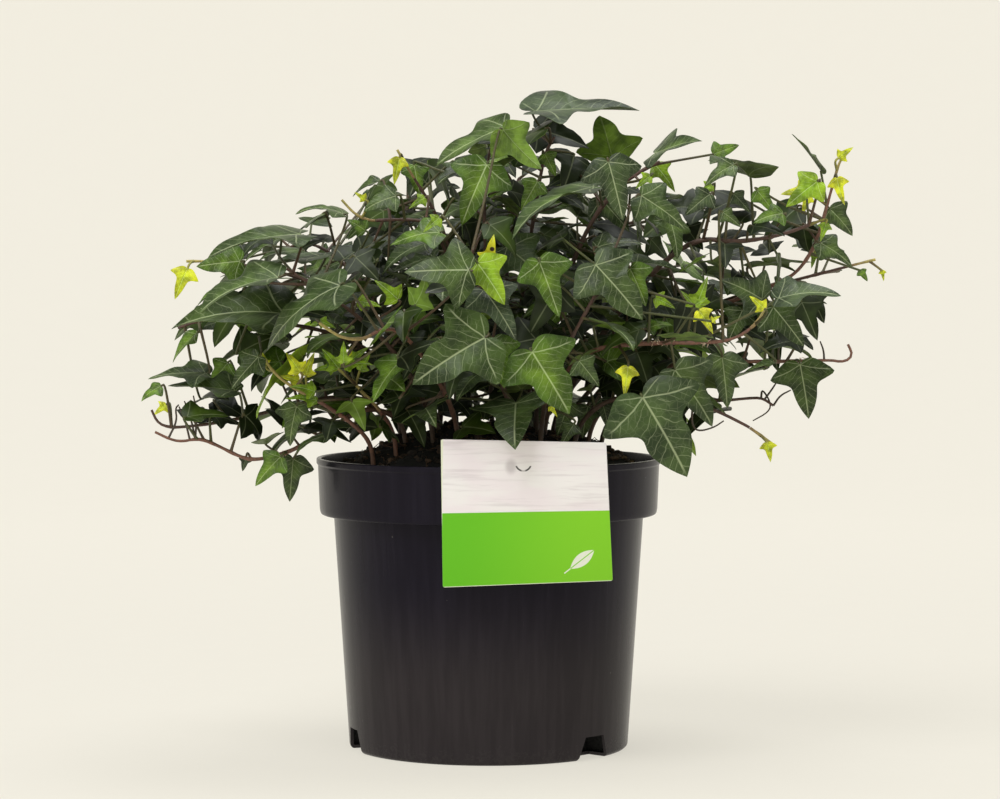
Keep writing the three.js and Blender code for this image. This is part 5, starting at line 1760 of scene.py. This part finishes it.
def make_stage():
    """A round floor that curves up into a low wall on all sides."""
    flat = STAGE_RADIUS - STAGE_CURVE
    profile = [(0.02, 0), (flat * 0.3, 0), (flat, 0)]
    for turn in np.linspace(0.1, math.pi / 2, 14):
        profile.append((flat + STAGE_CURVE * math.sin(turn), STAGE_CURVE * (1 - math.cos(turn))))
    profile.append((STAGE_RADIUS, STAGE_TOP))
    turns = 2 * math.pi * np.arange(STAGE_SIDES) / STAGE_SIDES
    points = [
        (radius * math.cos(turn), radius * math.sin(turn), z)
        for radius, z in profile
        for turn in turns
    ]
    faces = grid_faces(len(profile), STAGE_SIDES)
    faces.append([k for k in reversed(range(STAGE_SIDES))])
    stage = plain_mesh("studio_floor", np.array(points) / MM, faces)
    stage.data.polygons.foreach_set("use_smooth", [True] * len(faces))
    stage.data.materials.append(floor_paint())


def aimed(thing, place, aim):
    thing.location = place
    thing.rotation_euler = (Vector(aim) - Vector(place)).to_track_quat("-Z", "Y").to_euler()
    bpy.context.scene.collection.objects.link(thing)


def area_light(name, place, aim, width, height, power, colour=(1, 1, 1)):
    light = bpy.data.lights.new(name, "AREA")
    light.shape = "RECTANGLE"
    light.size = width
    light.size_y = height
    light.energy = power
    light.color = colour
    aimed(bpy.data.objects.new(name, light), place, aim)


def make_lights():
    world = bpy.data.worlds.new("studio_air")
    bpy.context.scene.world = world
    world.use_nodes = True
    air = world.node_tree.nodes["Background"]
    air.inputs["Color"].default_value = (1.0, 0.985, 0.95, 1)
    air.inputs["Strength"].default_value = 0.2
    middle = (0, 0, 0.2)
    area_light("key_light", (-0.7, -1.1, 2.0), middle, 1.2, 1.2, 30)
    area_light("top_light", (0.3, 0.4, 2.2), middle, 1.4, 1.0, 22)


def make_camera():
    camera = bpy.data.cameras.new("photo_camera")
    camera.lens = CAMERA_LENS
    camera.sensor_width = 36
    camera.clip_end = 30
    thing = bpy.data.objects.new("photo_camera", camera)
    aimed(thing, CAMERA_PLACE, CAMERA_AIM)
    bpy.context.scene.camera = thing


def outside_box(points):
    """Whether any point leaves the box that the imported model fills."""
    low = np.array(cad_box[0]) / MM + BOX_MARGIN
    high = np.array(cad_box[1]) / MM - BOX_MARGIN
    return bool((points.min(0) < low).any() or (points.max(0) > high).any())


def shade_leaf(stem, random):
    """A small leaf of the shaded inside."""
    share = SHADE_START + (1 - SHADE_START) * next(random)
    start = stem.spots[math.floor(share * (len(stem.spots) - 1))]
    leave = unit(swung(vector(0, 0, 0.35), (1, 1, 1), random))
    foot = start + leave * (9 + 24 * next(random))
    reach = 17 + 17 * next(random)
    point = unit(swung(vector(0, -0.2, -0.3), (1, 1, 0.6), random))
    face = swung(vector(0, -0.6, 0.8), (0.5, 0.5, 0.4), random)
    tone = 1 if next(random) < 0.2 else 0
    return Leaf(foot, foot + point * reach, face, tone, random)


def shade(stems, room, sight):
    for owner, stem in enumerate(stems):
        if stem.young:
            continue
        total = lengths_along(stem.points)[-1]
        for n in range(math.floor(total / SHADE_SPACING)):
            random = draws(SEED + 50000 + owner * 100 + n)
            for _ in range(SHADE_TRIES):
                leaf = shade_leaf(stem, random)
                if outside_bush(leaf):
                    continue
                samples = leaf.samples()
                if leaves_outline(samples) or outside_box(samples):
                    continue
                if sight.hidden_share(samples) > COVERING_SHARE:
                    continue
                if join(leaf, stems, room, samples, SHADE_REACH, SHADE_ROOM):
                    leaf.shaded = True
                    break


def make_plant():
    stems, room, sight = grow()
    add_young(stems, room, sight)
    shade(stems, room, sight)
    foliage = leaf_paint("ivy_leaf", 0.28, 0.10)
    young = leaf_paint("ivy_young_leaf", 0.34, 0.25)
    bark = bark_paint()
    shaded = shaded_leaf_paint()
    for owner, stem in enumerate(stems):
        leafy_stem(owner, stem, [young, bark] if stem.young else [foliage, bark, shaded])


make_camera()
make_stage()
make_lights()
bpy.context.scene.view_settings.view_transform = "Standard"
soil_material = soil_paint()
make_pot()
make_soil(soil_material)
make_crumbs(soil_material)
make_label(label_paint())
make_plant()
